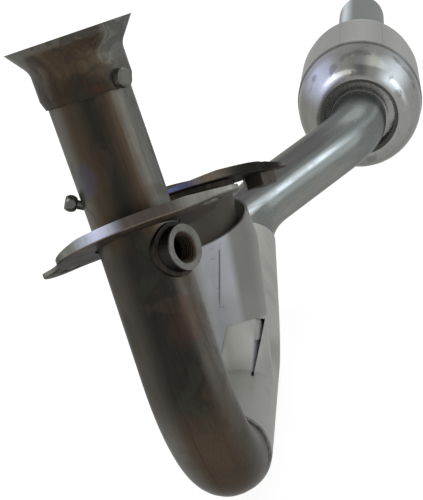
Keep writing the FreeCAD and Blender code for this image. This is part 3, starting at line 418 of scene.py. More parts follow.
class Steel:
    """A steel material in the making: its coordinates, its running colour and its shader."""

    def __init__(self, name, run, metallic, roughness, grain=900.0, blotch=40.0, edge=0.5):
        self.material = bpy.data.materials.new(name)
        self.material.use_nodes = True
        self.material.node_tree.nodes.clear()
        self.t = t = Tree(self.material.node_tree)
        self.place = t.add("ShaderNodeTexCoord").outputs["Object"]
        self.local = self.mapped(run)
        skin = t.add("ShaderNodeGroup", node_tree=grain_group())
        t.tree.links.new(self.local, skin.inputs["Vector"])
        skin.inputs["Grain Scale"].default_value = grain
        skin.inputs["Blotch Scale"].default_value = blotch
        self.lines, self.blotches = skin.outputs["Lines"], skin.outputs["Blotches"]
        self.shader = t.add("ShaderNodeBsdfPrincipled", {"Metallic": metallic, "Roughness": roughness})
        self.shader.inputs["Specular Tint"].default_value = (edge, edge, edge, 1.0)
        self.shader.inputs["Specular IOR Level"].default_value = 0.25
        out = t.add("ShaderNodeOutputMaterial")
        t.tree.links.new(self.shader.outputs[0], out.inputs["Surface"])
        self.roughness = roughness
        self.bumps = []

    def mapped(self, run):
        place = RUNS[run][0]
        turn = run_turn(run).to_euler()
        node = self.t.add("ShaderNodeMapping", {"Vector": self.place}, vector_type="TEXTURE")
        node.inputs["Location"].default_value = place
        node.inputs["Rotation"].default_value = turn
        return node.outputs[0]

    def pipe(self, run, bend=0.0):
        """Outputs of the pipe group in one run's frame."""
        local = self.mapped(run)
        node = self.t.add("ShaderNodeGroup", node_tree=pipe_group())
        self.t.tree.links.new(local, node.inputs["Vector"])
        node.inputs["Facing"].default_value = math.radians(FACING.get(run, 0.0))
        node.inputs["Bend Radius"].default_value = bend
        return node.outputs

    def worn(self, colour, lines=0.12, blotches=0.2):
        """The colour, varied by the drawing lines and the blotches."""
        t = self.t
        fine = t.math("MULTIPLY_ADD", t.math("SUBTRACT", self.lines, 0.5), lines * 4, 1.0)
        soft = t.math("MULTIPLY_ADD", t.math("SUBTRACT", self.blotches, 0.5), blotches * 4, 1.0)
        level = t.math("MULTIPLY", fine, soft)
        grey = t.add("ShaderNodeCombineColor", {0: level, 1: level, 2: level}).outputs[0]
        return t.mix(1.0, colour, grey, "MULTIPLY")

    def stained(self, colour, stain, mask):
        return self.t.mix(mask, colour, stain)

    def spot(self, place, size):
        """A soft mask round a place on the metal, ragged by the blotches. Places and sizes are in mm."""
        t = self.t
        away = t.add(
            "ShaderNodeVectorMath",
            {0: self.place, 1: tuple(c / 1000 for c in place)},
            operation="DISTANCE",
        ).outputs["Value"]
        ragged = t.math("MULTIPLY_ADD", t.math("SUBTRACT", self.blotches, 0.5), size * -0.004, away)
        return t.step(ragged, size * 0.0012, size * 0.0005)

    def inner_side(self, run):
        """1 where the surface faces the run's axis."""
        t = self.t
        base, _, along = RUNS[run]
        normal = t.add("ShaderNodeNewGeometry").outputs["Normal"]

        def dot(first, second):
            node = t.add("ShaderNodeVectorMath", {0: first, 1: second}, operation="DOT_PRODUCT")
            return node.outputs["Value"]

        away = t.add("ShaderNodeVectorMath", {0: self.place, 1: base}, operation="SUBTRACT").outputs[0]
        lengthwise = t.math("MULTIPLY", dot(away, along), dot(normal, along))
        outward = t.math("SUBTRACT", dot(away, normal), lengthwise)
        return t.step(outward, 0.002, -0.002)

    def bump(self, height, depth, distance=0.0004):
        self.bumps.append((height, depth, distance))

    def finish(self, colour, spread=0.12):
        t = self.t
        t.tree.links.new(colour, self.shader.inputs["Base Color"])
        rough = t.math("MULTIPLY_ADD", t.math("SUBTRACT", self.blotches, 0.5), spread * 2, self.roughness)
        rough = t.math("MULTIPLY_ADD", t.math("SUBTRACT", self.lines, 0.5), spread, rough)
        t.tree.links.new(rough, self.shader.inputs["Roughness"])
        normal = None
        for height, depth, distance in self.bumps:
            inputs = {"Height": height, "Strength": depth, "Distance": distance}
            if normal is not None:
                inputs["Normal"] = normal
            normal = t.add("ShaderNodeBump", inputs).outputs[0]
        if normal is not None:
            t.tree.links.new(normal, self.shader.inputs["Normal"])
        return self.material


def dress(material, *nodes, angle=32.0):
    """Give CAD nodes a material and smooth shading, with their sharp edges kept."""
    for name in nodes:
        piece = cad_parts[name]
        piece.data.materials.clear()
        piece.data.materials.append(material)
        for face in piece.data.polygons:
            face.use_smooth = True
            face.material_index = 0
        weld = piece.modifiers.new("merge", "WELD")
        weld.merge_threshold = 2e-6
        split = piece.modifiers.new("sharp_edges", "EDGE_SPLIT")
        split.split_angle = math.radians(angle)


def only(piece):
    bpy.ops.object.select_all(action="DESELECT")
    piece.select_set(True)
    bpy.context.view_layer.objects.active = piece


def in_run(run, place=(0, 0, 0)):
    """World place and rotation of a point given in a run's frame."""
    turn = run_turn(run)
    return Vector(RUNS[run][0]) + turn @ Vector(place), turn.to_euler()


# Finishes.
def leg_reflection_bands(steel, look):
    """Painted reflections: light sides and a dark middle band, for the leg's upper run, its drop and its
    bend.
    """
    t = steel.t
    upper, lower = steel.pipe("mouth"), steel.pipe("drop", ELBOW_BEND)
    wobble = t.math("MULTIPLY", t.math("SUBTRACT", steel.blotches, 0.5), 0.16)
    wobble = t.math("MULTIPLY_ADD", t.math("SUBTRACT", steel.lines, 0.5), 0.03, wobble)
    first = t.math("ADD", t.math("SUBTRACT", 1.0, upper["Across"]), wobble)
    second = t.math("ADD", t.math("SUBTRACT", 1.0, lower["Across"]), wobble)
    top = t.ramp(
        first,
        [(0.0, look.grey), (0.2, look.brown), (0.45, look.soot_and_shade), (0.7, look.brown), (0.88, look.grey)],
    )
    middle = t.ramp(
        second,
        [(0.0, look.worn), (0.35, look.soot_and_shade), (0.7, look.soot_and_shade), (0.85, look.worn), (1.0, look.grey)],
    )
    bend = t.ramp(second, [(0.0, look.grey), (0.35, look.brown), (0.65, look.brown), (0.95, look.worn)])
    colour = t.mix(t.step(lower["Along"], -0.088, -0.074), top, middle)
    colour = t.mix(t.step(lower["Along"], 0.004, 0.040), colour, bend)
    return colour, lower


def dark_leg_steel(look):
    steel = Steel("leg_tints_and_reflections", "mouth", 0.85, look.roughness, grain=700.0, blotch=22.0)
    t = steel.t
    colour, lower = leg_reflection_bands(steel, look)
    tint = t.add(
        "ShaderNodeTexNoise",
        {"Vector": steel.local, "Scale": 34.0, "Detail": 4.0, "Distortion": 0.6},
    )
    warm = t.math("MULTIPLY", t.step(tint.outputs[0], 0.54, 0.60), 0.34)
    colour = steel.stained(colour, look.brown, warm)
    cold = t.math("MULTIPLY", t.step(tint.outputs[0], 0.44, 0.38), 0.30)
    colour = steel.stained(colour, look.olive, cold)
    burnt = steel.spot((72.0, -44.0, -160.0), 16)
    colour = steel.stained(colour, look.rust, t.math("MULTIPLY", burnt, 0.28))
    olive = steel.spot((42.0, -46.0, -165.0), 14)
    colour = steel.stained(colour, look.olive, t.math("MULTIPLY", olive, 0.5))
    blued = steel.spot((16.0, -34.0, -78.0), 12)
    colour = steel.stained(colour, look.blue, t.math("MULTIPLY", blued, 0.35))
    seam = t.band(lower["Across"], 0.655, 0.665, 0.006)
    seam = t.math("MULTIPLY", seam, t.step(lower["Along"], 0.0, 0.03))
    colour = steel.stained(colour, look.soot_and_shade, t.math("MULTIPLY", seam, 0.7))
    colour = steel.worn(colour, 0.14, 0.24)
    steel.bump(steel.lines, 0.16)
    steel.bump(steel.blotches, 0.35, 0.002)
    return steel.finish(colour)


def flare_steel(look):
    steel = Steel("flare_tints_and_reflections", "mouth", 0.85, look.roughness, grain=600.0, blotch=34.0)
    t = steel.t
    pipe = steel.pipe("mouth")
    across = t.math("SUBTRACT", 1.0, pipe["Across"])
    across = t.math("ADD", across, t.math("MULTIPLY", t.math("SUBTRACT", steel.blotches, 0.5), 0.12))
    # Painted reflections across the flare: light sides and a brown middle.
    colour = t.ramp(across, [(0.0, look.grey), (0.2, look.brown), (0.7, look.brown), (0.85, look.grey)])
    patches = t.math("MULTIPLY", t.step(steel.blotches, 0.52, 0.60), 0.45)
    colour = steel.stained(colour, look.soot_and_shade, patches)
    # Tint spots, and at (30, -14, 0) a painted highlight in the light grey.
    for place, size, tint, depth in (
        ((20, -26, -10), 8, look.straw, 0.45),
        ((10, -31, -26), 9, look.soot_and_shade, 0.45),
        ((24, -28, -28), 5, look.rust, 0.45),
        ((30, -14, 0), 10, look.grey, 0.6),
    ):
        colour = steel.stained(colour, tint, t.math("MULTIPLY", steel.spot(place, size), depth))
    # Darker from 16 to 28 mm along the run onwards.
    darkened = t.math("MULTIPLY", t.step(pipe["Along"], 0.016, 0.028), 0.45)
    colour = t.mix(darkened, colour, t.mix(1.0, colour, (0.45, 0.45, 0.45, 1.0), "MULTIPLY"))
    joint = t.math("MULTIPLY", t.step(pipe["Along"], 0.0352, 0.0372), 0.7)
    colour = steel.stained(colour, look.soot_and_shade, joint)
    # A painted highlight along the flare's lip.
    lip = t.band(pipe["Along"], -0.001, 0.0045, 0.0015)
    colour = steel.stained(colour, look.grey, t.math("MULTIPLY", lip, 0.5))
    mottle = t.add(
        "ShaderNodeTexNoise",
        {"Vector": steel.place, "Scale": 70.0, "Detail": 4.0, "Distortion": 1.5},
    )
    dark = t.math("MULTIPLY", t.step(mottle.outputs[0], 0.52, 0.58), 0.4)
    colour = steel.stained(colour, look.soot_and_shade, dark)
    light = t.math("MULTIPLY", t.step(mottle.outputs[0], 0.42, 0.37), 0.3)
    colour = steel.stained(colour, look.straw, light)
    colour = steel.worn(colour, 0.12, 0.26)
    steel.bump(steel.lines, 0.15)
    steel.bump(steel.blotches, 0.4, 0.002)
    return steel.finish(colour)


def flange_steel(name, run, rim, under):
    """Pressed plate: painted reflections and tints along its rim and painted shade on its underside."""
    steel = Steel(name, run, 0.8, 0.40, grain=500.0, blotch=60.0, edge=0.15)
    t = steel.t
    split = t.add("ShaderNodeSeparateXYZ", {"Vector": steel.local}).outputs
    along = t.math("MULTIPLY_ADD", split[0], 1 / 0.156, 0.5)
    along = t.math("ADD", along, t.math("MULTIPLY", t.math("SUBTRACT", steel.blotches, 0.5), 0.03))
    colour = t.ramp(along, rim)
    below = t.ramp(along, under)
    # The underside takes the painted shade.
    colour = t.mix(t.step(split[2], 0.0010, 0.0004), colour, below)
    colour = steel.worn(colour, 0.10, 0.22)
    steel.bump(steel.blotches, 0.3, 0.0015)
    return steel.finish(colour)


def bung_steel(look):
    steel = Steel("bung_steel", "bung", 0.8, 0.42, grain=500.0, blotch=90.0)
    t = steel.t
    split = t.add("ShaderNodeSeparateXYZ", {"Vector": steel.local}).outputs
    squares = [t.math("MULTIPLY", side, side) for side in (split[0], split[1])]
    reach = t.math("SQRT", t.math("ADD", *squares))
    # Painted light on the bung's face, painted shade on its wall and in its bore.
    face = t.step(split[2], 0.0325, 0.0336)
    rim = t.mix(face, look.soot_and_shade, look.grey)
    colour = steel.stained(rim, look.brown, t.step(reach, 0.0094, 0.0088))
    colour = steel.worn(colour, 0.10, 0.3)
    steel.bump(steel.blotches, 0.5, 0.001)
    return steel.finish(colour)


def plain_steel(name, run, colour, metallic=0.85, roughness=0.35, blotch=120.0, vary=0.3):
    steel = Steel(name, run, metallic, roughness, grain=600.0, blotch=blotch)
    tint = steel.t.mix(steel.t.step(steel.blotches, 0.35, 0.7), colour, scaled(colour, 0.6))
    tint = steel.worn(tint, 0.1, vary)
    steel.bump(steel.lines, 0.2)
    steel.bump(steel.blotches, 0.35, 0.0012)
    return steel.finish(tint)


def bead_steel(name, colour):
    steel = Steel(name, "leg", 0.75, 0.45, grain=500.0, blotch=160.0)
    t = steel.t
    tint = t.ramp(steel.blotches, [(0.3, scaled(colour, 0.5)), (0.55, colour), (0.75, scaled(colour, 1.5))])
    steel.bump(steel.blotches, 0.6, 0.001)
    return steel.finish(steel.worn(tint, 0.1, 0.2))


def shield_steel(look):
    steel = Steel("shield_sheet", "leg", 0.45, look.roughness, grain=420.0, blotch=46.0)
    t = steel.t
    pipe = steel.pipe("leg")
    # Painted shading across the shield: a lit front, a shaded band and darker sides.
    stops = [
        (0.0, look.dull),
        (0.3, look.dull),
        (0.42, look.cool),
        (0.64, look.cool),
        (0.75, look.deep),
        (0.85, look.deep),
        (1.0, look.dull),
    ]
    colour = t.ramp(pipe["Across"], stops)
    streak = t.math("MULTIPLY", t.step(steel.blotches, 0.54, 0.66), t.step(pipe["Across"], 0.62, 0.5))
    colour = steel.stained(colour, look.shadow, t.math("MULTIPLY", streak, 0.4))
    low = t.math("MULTIPLY", t.step(pipe["Along"], 0.084, 0.066), 0.4)
    colour = steel.stained(colour, look.dull, low)
    colour = steel.worn(colour, 0.05, 0.07)
    cone = t.math("MULTIPLY_ADD", t.math("SUBTRACT", pipe["Along"], 0.036), 0.0882, 0.03015)
    groove = t.step(t.math("SUBTRACT", cone, pipe["Radius"]), 0.00012, 0.0003)
    groove = t.math("MULTIPLY", groove, t.step(pipe["Along"], 0.110, 0.108))
    colour = steel.stained(colour, look.shadow, groove)
    ticks = t.stretch(steel.local, (0.5, 0.5, 5))
    ticks = t.add("ShaderNodeTexNoise", {"Vector": ticks, "Scale": 90.0, "Detail": 2.0}).outputs[0]
    ticks = t.math("MULTIPLY", t.step(ticks, 0.60, 0.68), t.band(pipe["Across"], 0.47, 0.53, 0.02))
    colour = steel.stained(colour, look.shadow, t.math("MULTIPLY", ticks, 0.5))
    # The inside of the shield's mouth is painted light.
    inner = steel.inner_side("leg")
    colour = steel.stained(colour, look.inside, inner)
    bare = t.math("MULTIPLY", t.math("SUBTRACT", 1.0, inner), 0.45)
    t.tree.links.new(bare, steel.shader.inputs["Metallic"])
    steel.bump(steel.lines, 0.05)
    steel.bump(steel.blotches, 0.16, 0.002)
    return steel.finish(colour)


def collector_steel(look):
    steel = Steel("collector_sheet", "leg", 0.45, look.roughness, grain=420.0, blotch=30.0)
    t = steel.t
    split = t.add("ShaderNodeSeparateXYZ", {"Vector": steel.place}).outputs
    colour = t.mix(t.step(split[1], 0.15, 0.20), look.warm, look.dull)
    panel = t.step(steel.pipe("leg")["Along"], 0.020, 0.034)
    colour = t.mix(t.math("MULTIPLY", panel, 0.8), colour, look.panel)
    cloud = t.math("MULTIPLY", t.step(steel.blotches, 0.45, 0.7), 0.5)
    colour = steel.stained(colour, look.dull, cloud)
    colour = steel.worn(colour, 0.05, 0.06)
    steel.bump(steel.lines, 0.05)
    steel.bump(steel.blotches, 0.2, 0.003)
    return steel.finish(colour)


def outlet_steel(look):
    steel = Steel("outlet_tube_steel", "outlet", 0.85, look.roughness, grain=700.0, blotch=34.0)
    t = steel.t
    pipe = steel.pipe("outlet", INLET_BEND)
    across = t.math("ADD", pipe["Across"], t.math("MULTIPLY", t.math("SUBTRACT", steel.blotches, 0.5), 0.04))
    # Painted reflections across the tube: a dark reflection band and a bright highlight.
    stops = [
        (0.0, look.cap),
        (0.12, look.dusk),
        (0.3, look.dusk),
        (0.4, look.tube),
        (0.5, look.mirror),
        (0.58, look.tube),
        (1.0, look.cap),
    ]
    colour = t.ramp(across, stops)
    # The painted highlight is broken up by blotches.
    broken = t.math("MULTIPLY", t.step(steel.blotches, 0.54, 0.62), t.band(pipe["Across"], 0.44, 0.55, 0.03))
    colour = steel.stained(colour, look.tube, t.math("MULTIPLY", broken, 0.35))
    # The painted reflections fade into the bend towards the converter.
    end = t.step(pipe["Along"], -0.030, 0.016)
    colour = t.mix(t.math("MULTIPLY", end, 0.85), colour, look.tube)
    colour = steel.worn(colour, 0.12, 0.12)
    steel.bump(steel.lines, 0.10)
    return steel.finish(colour, 0.08)


def dome_steel(look):
    """The converter's domed front: painted reflections round it, a lilac and a white highlight with a dark
    reflection between them, the recess round the tube painted light in the shell's grey, and small dents,
    bumped and painted as dark reflections.
    """
    steel = Steel("dome_steel", "can", 0.85, look.roughness, grain=500.0, blotch=40.0)
    t = steel.t
    pipe = steel.pipe("can")
    colour = t.ramp(
        pipe["Around"],
        [
            (0.0, look.cap),
            (0.27, look.cap),
            (0.37, look.lilac_highlight),
            (0.45, look.cap),
            (0.5, look.dusk),
            (0.54, look.cap),
            (0.61, look.mirror),
            (0.68, look.shell),
            (1.0, look.cap),
        ],
    )
    # The recess round the tube is painted light in the shell's grey.
    recess = t.step(pipe["Radius"], 0.043, 0.038)
    colour = steel.stained(colour, look.shell, recess)
    skirt = t.step(pipe["Radius"], 0.0575, 0.0600)
    colour = steel.stained(colour, look.shell, t.math("MULTIPLY", skirt, 0.6))
    # Small dents, bumped and painted as dark reflections.
    dents = t.add("ShaderNodeTexNoise", {"Vector": steel.local, "Scale": 62.0, "Detail": 1.0}).outputs[0]
    dents = t.math("MULTIPLY", t.step(dents, 0.60, 0.68), t.math("SUBTRACT", 1.0, recess))
    colour = steel.stained(colour, look.dusk, t.math("MULTIPLY", dents, 0.45))
    colour = steel.worn(colour, 0.05, 0.10)
    steel.bump(dents, 0.3, 0.001)
    return steel.finish(colour, 0.08)


def shell_steel(look):
    steel = Steel("shell_steel", "can", 0.55, 0.42, grain=500.0, blotch=30.0)
    t = steel.t
    pipe = steel.pipe("can")
    # Painted highlight strips along the shell, with the far sides in the cap's grey.
    casing = t.ramp(
        pipe["Around"],
        [
            (0.0, look.cap),
            (0.28, look.shell),
            (0.44, look.shell),
            (0.5, look.sheen),
            (0.55, look.shell),
            (0.61, look.sheen),
            (0.7, look.shell),
            (1.0, look.cap),
        ],
    )
    # A painted highlight along the tail tube.
    tail = t.ramp(
        pipe["Around"],
        [
            (0.0, look.cap),
            (0.31, look.cap),
            (0.37, look.mirror),
            (0.45, look.tube),
            (0.6, look.tube),
            (1.0, look.cap),
        ],
    )
    # Dark lines beside the middle painted highlight strip.
    for edge in (0.444, 0.556):
        line = t.band(pipe["Around"], edge - 0.0012, edge + 0.0012, 0.001)
        casing = steel.stained(casing, look.tube, t.math("MULTIPLY", line, 0.6))
    colour = t.mix(t.step(pipe["Radius"], 0.034, 0.029), casing, tail)
    colour = steel.worn(colour, 0.06, 0.08)
    steel.bump(steel.lines, 0.08)
    return steel.finish(colour, 0.08)


def fibre(name, run, colour, scale):
    steel = Steel(name, run, 0.0, 0.85, grain=scale, blotch=90.0)
    tint = steel.worn(steel.t.mix(steel.blotches, colour, scaled(colour, 0.8)), 0.2, 0.1)
    steel.bump(steel.lines, 0.6)
    return steel.finish(tint)


# Operators.
class PipeOperator:
    bl_options = {"REGISTER", "UNDO"}


class YPIPE_OT_front_leg(PipeOperator, bpy.types.Operator):
    """Finish the flared inlet, its plug, the front leg and its stop stud"""

    bl_idname = "ypipe.front_leg"
    bl_label = "Front leg"

    def execute(self, context):
        look = context.scene.dark_leg_finish
        dress(flare_steel(look), "front_flare_sleeve")
        dress(dark_leg_steel(look), "front_tube")
        bright = plain_steel("worn_fitting", "mouth", look.grey, roughness=0.34)
        dress(bright, "sleeve_plug", "stop_stud", angle=25)
        return {"FINISHED"}


class YPIPE_OT_flanges(PipeOperator, bpy.types.Operator):
    """Finish the loose and the welded flange and the weld nuts"""

    bl_idname = "ypipe.flanges"
    bl_label = "Flanges and nuts"

    def execute(self, context):
        look = context.scene.flange_finish
        dark = context.scene.dark_leg_finish
        # Painted reflections along the loose flange's rim, with a lilac highlight.
        rim = [
            (0.0, look.plate),
            (0.42, look.plate),
            (0.57, look.lilac_highlight),
            (0.67, look.burnt),
            (0.78, look.burnt),
            (0.86, look.plate),
            (1.0, look.pale),
        ]
        # Painted shade on the loose flange's underside.
        under = [
            (0.0, look.plate),
            (0.15, look.burnt),
            (0.35, look.burnt),
            (0.45, look.copper),
            (0.75, look.copper),
            (1.0, look.plate),
        ]
        dress(flange_steel("loose_flange_steel", "loose_flange", rim, under), "front_flange", angle=35)
        # Painted reflections along the welded flange's rim, a blue reflection at one end and painted shade
        # at the other.
        rim = [
            (0.0, look.blue),
            (0.3, look.blue),
            (0.42, look.copper),
            (0.58, dark.soot_and_shade),
            (0.9, dark.soot_and_shade),
            (1.0, look.pale),
        ]
        # Painted shade on the welded flange's underside.
        under = [(0.0, dark.brown), (0.5, dark.soot_and_shade), (1.0, dark.brown)]
        dress(flange_steel("fixed_flange_steel", "fixed_flange", rim, under), "rear_flange", angle=35)
        nut = plain_steel("nut_steel", "fixed_flange", look.burnt, roughness=0.45)
        dress(nut, "weld_nut_left", "weld_nut_right", angle=25)
        return {"FINISHED"}


class YPIPE_OT_bung(PipeOperator, bpy.types.Operator):
    """Finish the oxygen sensor's bung and cut its thread"""

    bl_idname = "ypipe.bung"
    bl_label = "Oxygen sensor bung"

    def execute(self, context):
        sizes = context.scene.bead_sizes
        steel = bung_steel(context.scene.dark_leg_finish)
        dress(steel, "oxygen_bung")
        place, turn = in_run("bung", (0, 0, THREAD_PLACE))
        bpy.ops.object.select_all(action="DESELECT")
        bpy.ops.mesh.primitive_circle_add(
            vertices=3, radius=sizes.thread, fill_type="NOTHING", location=(0, 0, 0)
        )
        thread = context.object
        thread.name = "bung_thread"
        bpy.ops.object.mode_set(mode="EDIT")
        bpy.ops.mesh.select_all(action="SELECT")
        bpy.ops.transform.rotate(value=math.pi / 2, orient_axis="X", center_override=(0, 0, 0))
        bpy.ops.transform.translate(value=(BORE_RADIUS - sizes.thread * 0.4, 0, 0))
        bpy.ops.object.mode_set(mode="OBJECT")
        wind = thread.modifiers.new("thread", "SCREW")
        wind.screw_offset = sizes.pitch
        wind.iterations = THREAD_TURNS
        wind.steps = wind.render_steps = THREAD_STEPS
        wind.use_merge_vertices = True
        bpy.ops.object.modifier_apply(modifier=wind.name)
        thread.matrix_world = Matrix.Translation(place) @ turn.to_matrix().to_4x4()
        bpy.ops.object.transform_apply(location=True, rotation=True, scale=True)
        bpy.ops.object.mode_set(mode="EDIT")
        bpy.ops.mesh.select_all(action="SELECT")
        bpy.ops.mesh.normals_make_consistent(inside=False)
        bpy.ops.object.mode_set(mode="OBJECT")
        thread.data.materials.append(steel)
        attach(thread, "root")
        return {"FINISHED"}


class YPIPE_OT_rear_leg(PipeOperator, bpy.types.Operator):
    """Finish the rear leg inside its shield"""

    bl_idname = "ypipe.rear_leg"
    bl_label = "Rear leg"

    def execute(self, context):
        steel = Steel("rear_leg_steel", "leg", 0.3, 0.55, blotch=30.0)
        t = steel.t
        dark, sheet = context.scene.dark_leg_finish, context.scene.sheet_finish
        # The rear tube is painted dark as shade under the flanges, and painted light near its lower end,
        # where it shows through the collector's slot.
        low = t.step(steel.pipe("leg")["Along"], 0.075, 0.060)
        colour = steel.worn(t.mix(low, dark.worn, sheet.cool), 0.05, 0.08)
        dress(steel.finish(colour), "rear_tube")
        return {"FINISHED"}


class YPIPE_OT_sheet(PipeOperator, bpy.types.Operator):
    """Finish the sheet shield and the two halves of the collector"""

    bl_idname = "ypipe.sheet"
    bl_label = "Shield and collector"

    def execute(self, context):
        look = context.scene.sheet_finish
        dress(shield_steel(look), "leg_shield")
        dress(collector_steel(look), "collector_left", "collector_right")
        place, turn = in_run("leg", (0, 0, LINER_PLACE))
        bpy.ops.object.select_all(action="DESELECT")
        bpy.ops.mesh.primitive_cylinder_add(
            vertices=72,
            radius=LINER_RADIUS,
            depth=LINER_LENGTH,
            end_fill_type="NOTHING",
            location=place,
            rotation=turn,
        )
        liner = context.object
        liner.name = "neck_liner"
        bpy.ops.object.transform_apply(location=True, rotation=True, scale=True)
        bpy.ops.object.mode_set(mode="EDIT")
        bpy.ops.mesh.select_all(action="SELECT")
        bpy.ops.mesh.solidify(thickness=LINER_WALL)
        bpy.ops.mesh.normals_make_consistent(inside=False)
        bpy.ops.object.mode_set(mode="OBJECT")
        only(liner)
        bpy.ops.object.shade_smooth_by_angle(angle=math.radians(35))
        steel = plain_steel("liner_steel", "leg", look.panel, metallic=0.2, roughness=0.6, vary=0.05)
        liner.data.materials.append(steel)
        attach(liner, "root")
        return {"FINISHED"}


class YPIPE_OT_outlet(PipeOperator, bpy.types.Operator):
    """Finish the outlet tube"""

    bl_idname = "ypipe.outlet"
    bl_label = "Outlet tube"

    def execute(self, context):
        dress(outlet_steel(context.scene.bright_finish), "outlet_tube")
        return {"FINISHED"}


class YPIPE_OT_converter(PipeOperator, bpy.types.Operator):
    """Finish the converter's caps, shell, brick and mat, and the tail tube"""

    bl_idname = "ypipe.converter"
    bl_label = "Converter and tail"

    def execute(self, context):
        look = context.scene.bright_finish
        dress(dome_steel(look), "converter_inlet_cap")
        # The collar is painted light in the sheen, against the recess's shade.
        dress(plain_steel("collar_steel", "can", look.sheen, roughness=0.25, blotch=50.0), "inlet_collar")
        dress(shell_steel(look), "converter_shell", "converter_outlet_cap", "tail_tube")
        dress(fibre("ceramic_brick", "can", shade(205, 195, 170), 900.0), "ceramic_brick")
        dress(fibre("support_mat", "can", shade(215, 210, 200), 1500.0), "support_mat")
        return {"FINISHED"}


def ripples(name, run, place, radius, size, material):
    """A weld's overlapping scales in a ring round a run, as one piece."""
    count = round(math.tau * radius / (size * 0.8))
    turn = run_turn(run)
    base = Vector(RUNS[run][0])
    bpy.ops.object.select_all(action="DESELECT")
    for number in range(count):
        angle = math.tau * number / count
        spot = base + turn @ Vector((radius * math.cos(angle), radius * math.sin(angle), place))
        bpy.ops.mesh.primitive_uv_sphere_add(segments=12, ring_count=8, radius=size, location=spot)
        if number == 0:
            piece = bpy.context.object
            bpy.ops.object.transform_apply(location=True, rotation=True, scale=True)
            bpy.ops.object.mode_set(mode="EDIT")
    bpy.ops.mesh.select_all(action="SELECT")
    bpy.ops.mesh.faces_shade_smooth()
    bpy.ops.mesh.normals_make_consistent(inside=False)
    bpy.ops.object.mode_set(mode="OBJECT")
    piece.name = name
    piece.data.materials.append(material)
    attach(piece, "root")


class YPIPE_OT_welds(PipeOperator, bpy.types.Operator):
    """Finish the weld beads and lay their ripples"""

    bl_idname = "ypipe.welds"
    bl_label = "Weld beads"

    def execute(self, context):
        dark = bead_steel("dark_bead", shade(50, 45, 40))
        pale = bead_steel("pale_bead", shade(140, 140, 135))
        dress(dark, "bung_weld", "rear_flange_weld")
        dress(pale, "collector_front_weld", "tail_weld")
        flange, tail = "flange_weld_ripples", "tail_weld_ripples"
        ripples(flange, "fixed_flange", place=-0.0012, radius=0.0270, size=0.0019, material=dark)
        ripples(tail, "can", place=0.2648, radius=0.0285, size=0.0017, material=pale)
        return {"FINISHED"}


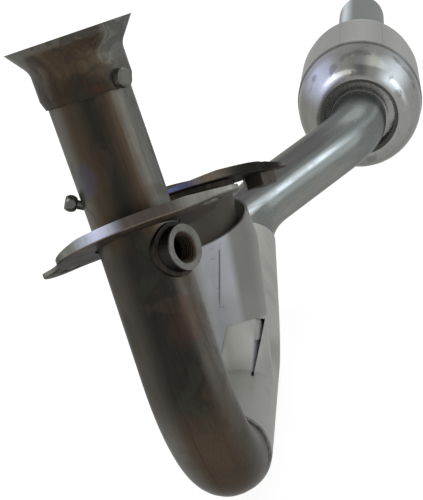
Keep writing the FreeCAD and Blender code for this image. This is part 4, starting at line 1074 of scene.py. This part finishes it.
class YPIPE_OT_studio(PipeOperator, bpy.types.Operator):
    """Set up the floor, the soft lights, the camera and the world"""

    bl_idname = "ypipe.studio"
    bl_label = "Studio"

    def execute(self, context):
        scene = context.scene
        sizes = scene.studio_sizes
        low, high = cad_box
        centre = (low + high) / 2
        bpy.ops.object.select_all(action="DESELECT")
        bpy.ops.mesh.primitive_plane_add(size=sizes.floor, location=(centre.x, centre.y, low.z - FLOOR_GAP))
        floor = context.object
        floor.name = "studio_floor"
        floor.data.materials.append(self.floor_material())

        self.lamp("key_light", place=(-0.9, -1.1, 1.3), size=1.4, power=sizes.key, colour=(1.0, 0.985, 0.96))
        self.lamp("fill_light", place=(1.6, -0.7, 0.7), size=1.2, power=sizes.fill, colour=(0.93, 0.96, 1.0))
        self.lamp("top_light", place=(0.4, 0.9, 1.6), size=1.2, power=sizes.fill, colour=(1.0, 1.0, 1.0))

        camera_data = bpy.data.cameras.new("photo_camera")
        camera_data.lens = VIEW_LENS
        camera_data.sensor_width = 36.0
        camera_data.clip_start, camera_data.clip_end = 0.02, 60.0
        camera = bpy.data.objects.new("photo_camera", camera_data)
        scene.collection.objects.link(camera)
        right, down, ahead = Vector(VIEW_RIGHT), Vector(VIEW_DOWN), Vector(VIEW_AHEAD)
        turn = Matrix((right, -down, -ahead)).transposed().to_4x4()
        camera.matrix_world = Matrix.Translation(VIEW_PLACE) @ turn
        scene.camera = camera
        scene.view_settings.view_transform = "Standard"
        self.world(scene, sizes.ambient)
        return {"FINISHED"}

    def floor_material(self):
        material = bpy.data.materials.new("studio_floor")
        material.use_nodes = True
        nodes = material.node_tree.nodes
        nodes.clear()
        t = Tree(material.node_tree)
        matte = t.add("ShaderNodeBsdfDiffuse", {"Color": (0.9, 0.9, 0.9, 1.0)})
        glow = t.add("ShaderNodeEmission", {"Color": (1.0, 1.0, 1.0, 1.0)})
        path = t.add("ShaderNodeLightPath").outputs
        seen = t.math("MAXIMUM", path["Is Camera Ray"], path["Is Glossy Ray"])
        lit = t.add("ShaderNodeMixShader", {0: t.math("MULTIPLY", seen, 0.6)})
        t.tree.links.new(matte.outputs[0], lit.inputs[1])
        t.tree.links.new(glow.outputs[0], lit.inputs[2])
        glow.inputs["Strength"].default_value = 1.3
        out = t.add("ShaderNodeOutputMaterial")
        t.tree.links.new(lit.outputs[0], out.inputs["Surface"])
        return material

    def lamp(self, name, place, size, power, colour):
        low, high = cad_box
        centre = (low + high) / 2
        bpy.ops.object.light_add(type="AREA", location=centre + Vector(place))
        lamp = bpy.context.object
        lamp.name = name
        lamp.data.shape = "DISK"
        lamp.data.size = size
        lamp.data.energy = power
        lamp.data.color = colour
        lamp.rotation_euler = (-Vector(place)).to_track_quat("-Z", "Y").to_euler()

    def world(self, scene, ambient):
        scene.world = bpy.data.worlds.new("studio_world")
        scene.world.use_nodes = True
        tree = scene.world.node_tree
        tree.nodes.clear()
        t = Tree(tree)
        path = t.add("ShaderNodeLightPath").outputs
        seen = t.math("MAXIMUM", path["Is Camera Ray"], path["Is Glossy Ray"])
        strength = t.math("MULTIPLY_ADD", seen, 1.0 - ambient, ambient)
        sky = t.add("ShaderNodeBackground", {"Color": (1.0, 1.0, 1.0, 1.0), "Strength": strength})
        out = t.add("ShaderNodeOutputWorld")
        tree.links.new(sky.outputs[0], out.inputs["Surface"])


STEPS = (
    YPIPE_OT_front_leg,
    YPIPE_OT_flanges,
    YPIPE_OT_bung,
    YPIPE_OT_rear_leg,
    YPIPE_OT_sheet,
    YPIPE_OT_outlet,
    YPIPE_OT_converter,
    YPIPE_OT_welds,
    YPIPE_OT_studio,
)
GROUPS = {
    "dark_leg_finish": DarkLegFinish,
    "flange_finish": FlangeFinish,
    "sheet_finish": SheetFinish,
    "bright_finish": BrightFinish,
    "bead_sizes": BeadSizes,
    "studio_sizes": StudioSizes,
}


class YPIPE_PT_panel(bpy.types.Panel):
    """Lists the pipe's steps in the order in which they are run"""

    bl_idname = "YPIPE_PT_panel"
    bl_label = "Exhaust Y-pipe"
    bl_space_type = "VIEW_3D"
    bl_region_type = "UI"
    bl_category = "Y-pipe"

    def draw(self, context):
        for step in STEPS:
            self.layout.operator(step.bl_idname)
        for name, group in GROUPS.items():
            box = self.layout.box()
            for prop in group.__annotations__:
                box.prop(getattr(context.scene, name), prop)


def register():
    for name, group in GROUPS.items():
        bpy.utils.register_class(group)
        setattr(bpy.types.Scene, name, bpy.props.PointerProperty(type=group))
    for step in STEPS:
        bpy.utils.register_class(step)
    bpy.utils.register_class(YPIPE_PT_panel)


def unregister():
    bpy.utils.unregister_class(YPIPE_PT_panel)
    for step in reversed(STEPS):
        bpy.utils.unregister_class(step)
    for name, group in reversed(GROUPS.items()):
        delattr(bpy.types.Scene, name)
        bpy.utils.unregister_class(group)


def main():
    register()
    bpy.ops.ypipe.front_leg()
    bpy.ops.ypipe.flanges()
    bpy.ops.ypipe.bung()
    bpy.ops.ypipe.rear_leg()
    bpy.ops.ypipe.sheet()
    bpy.ops.ypipe.outlet()
    bpy.ops.ypipe.converter()
    bpy.ops.ypipe.welds()
    bpy.ops.ypipe.studio()


if __name__ == "__main__":
    main()
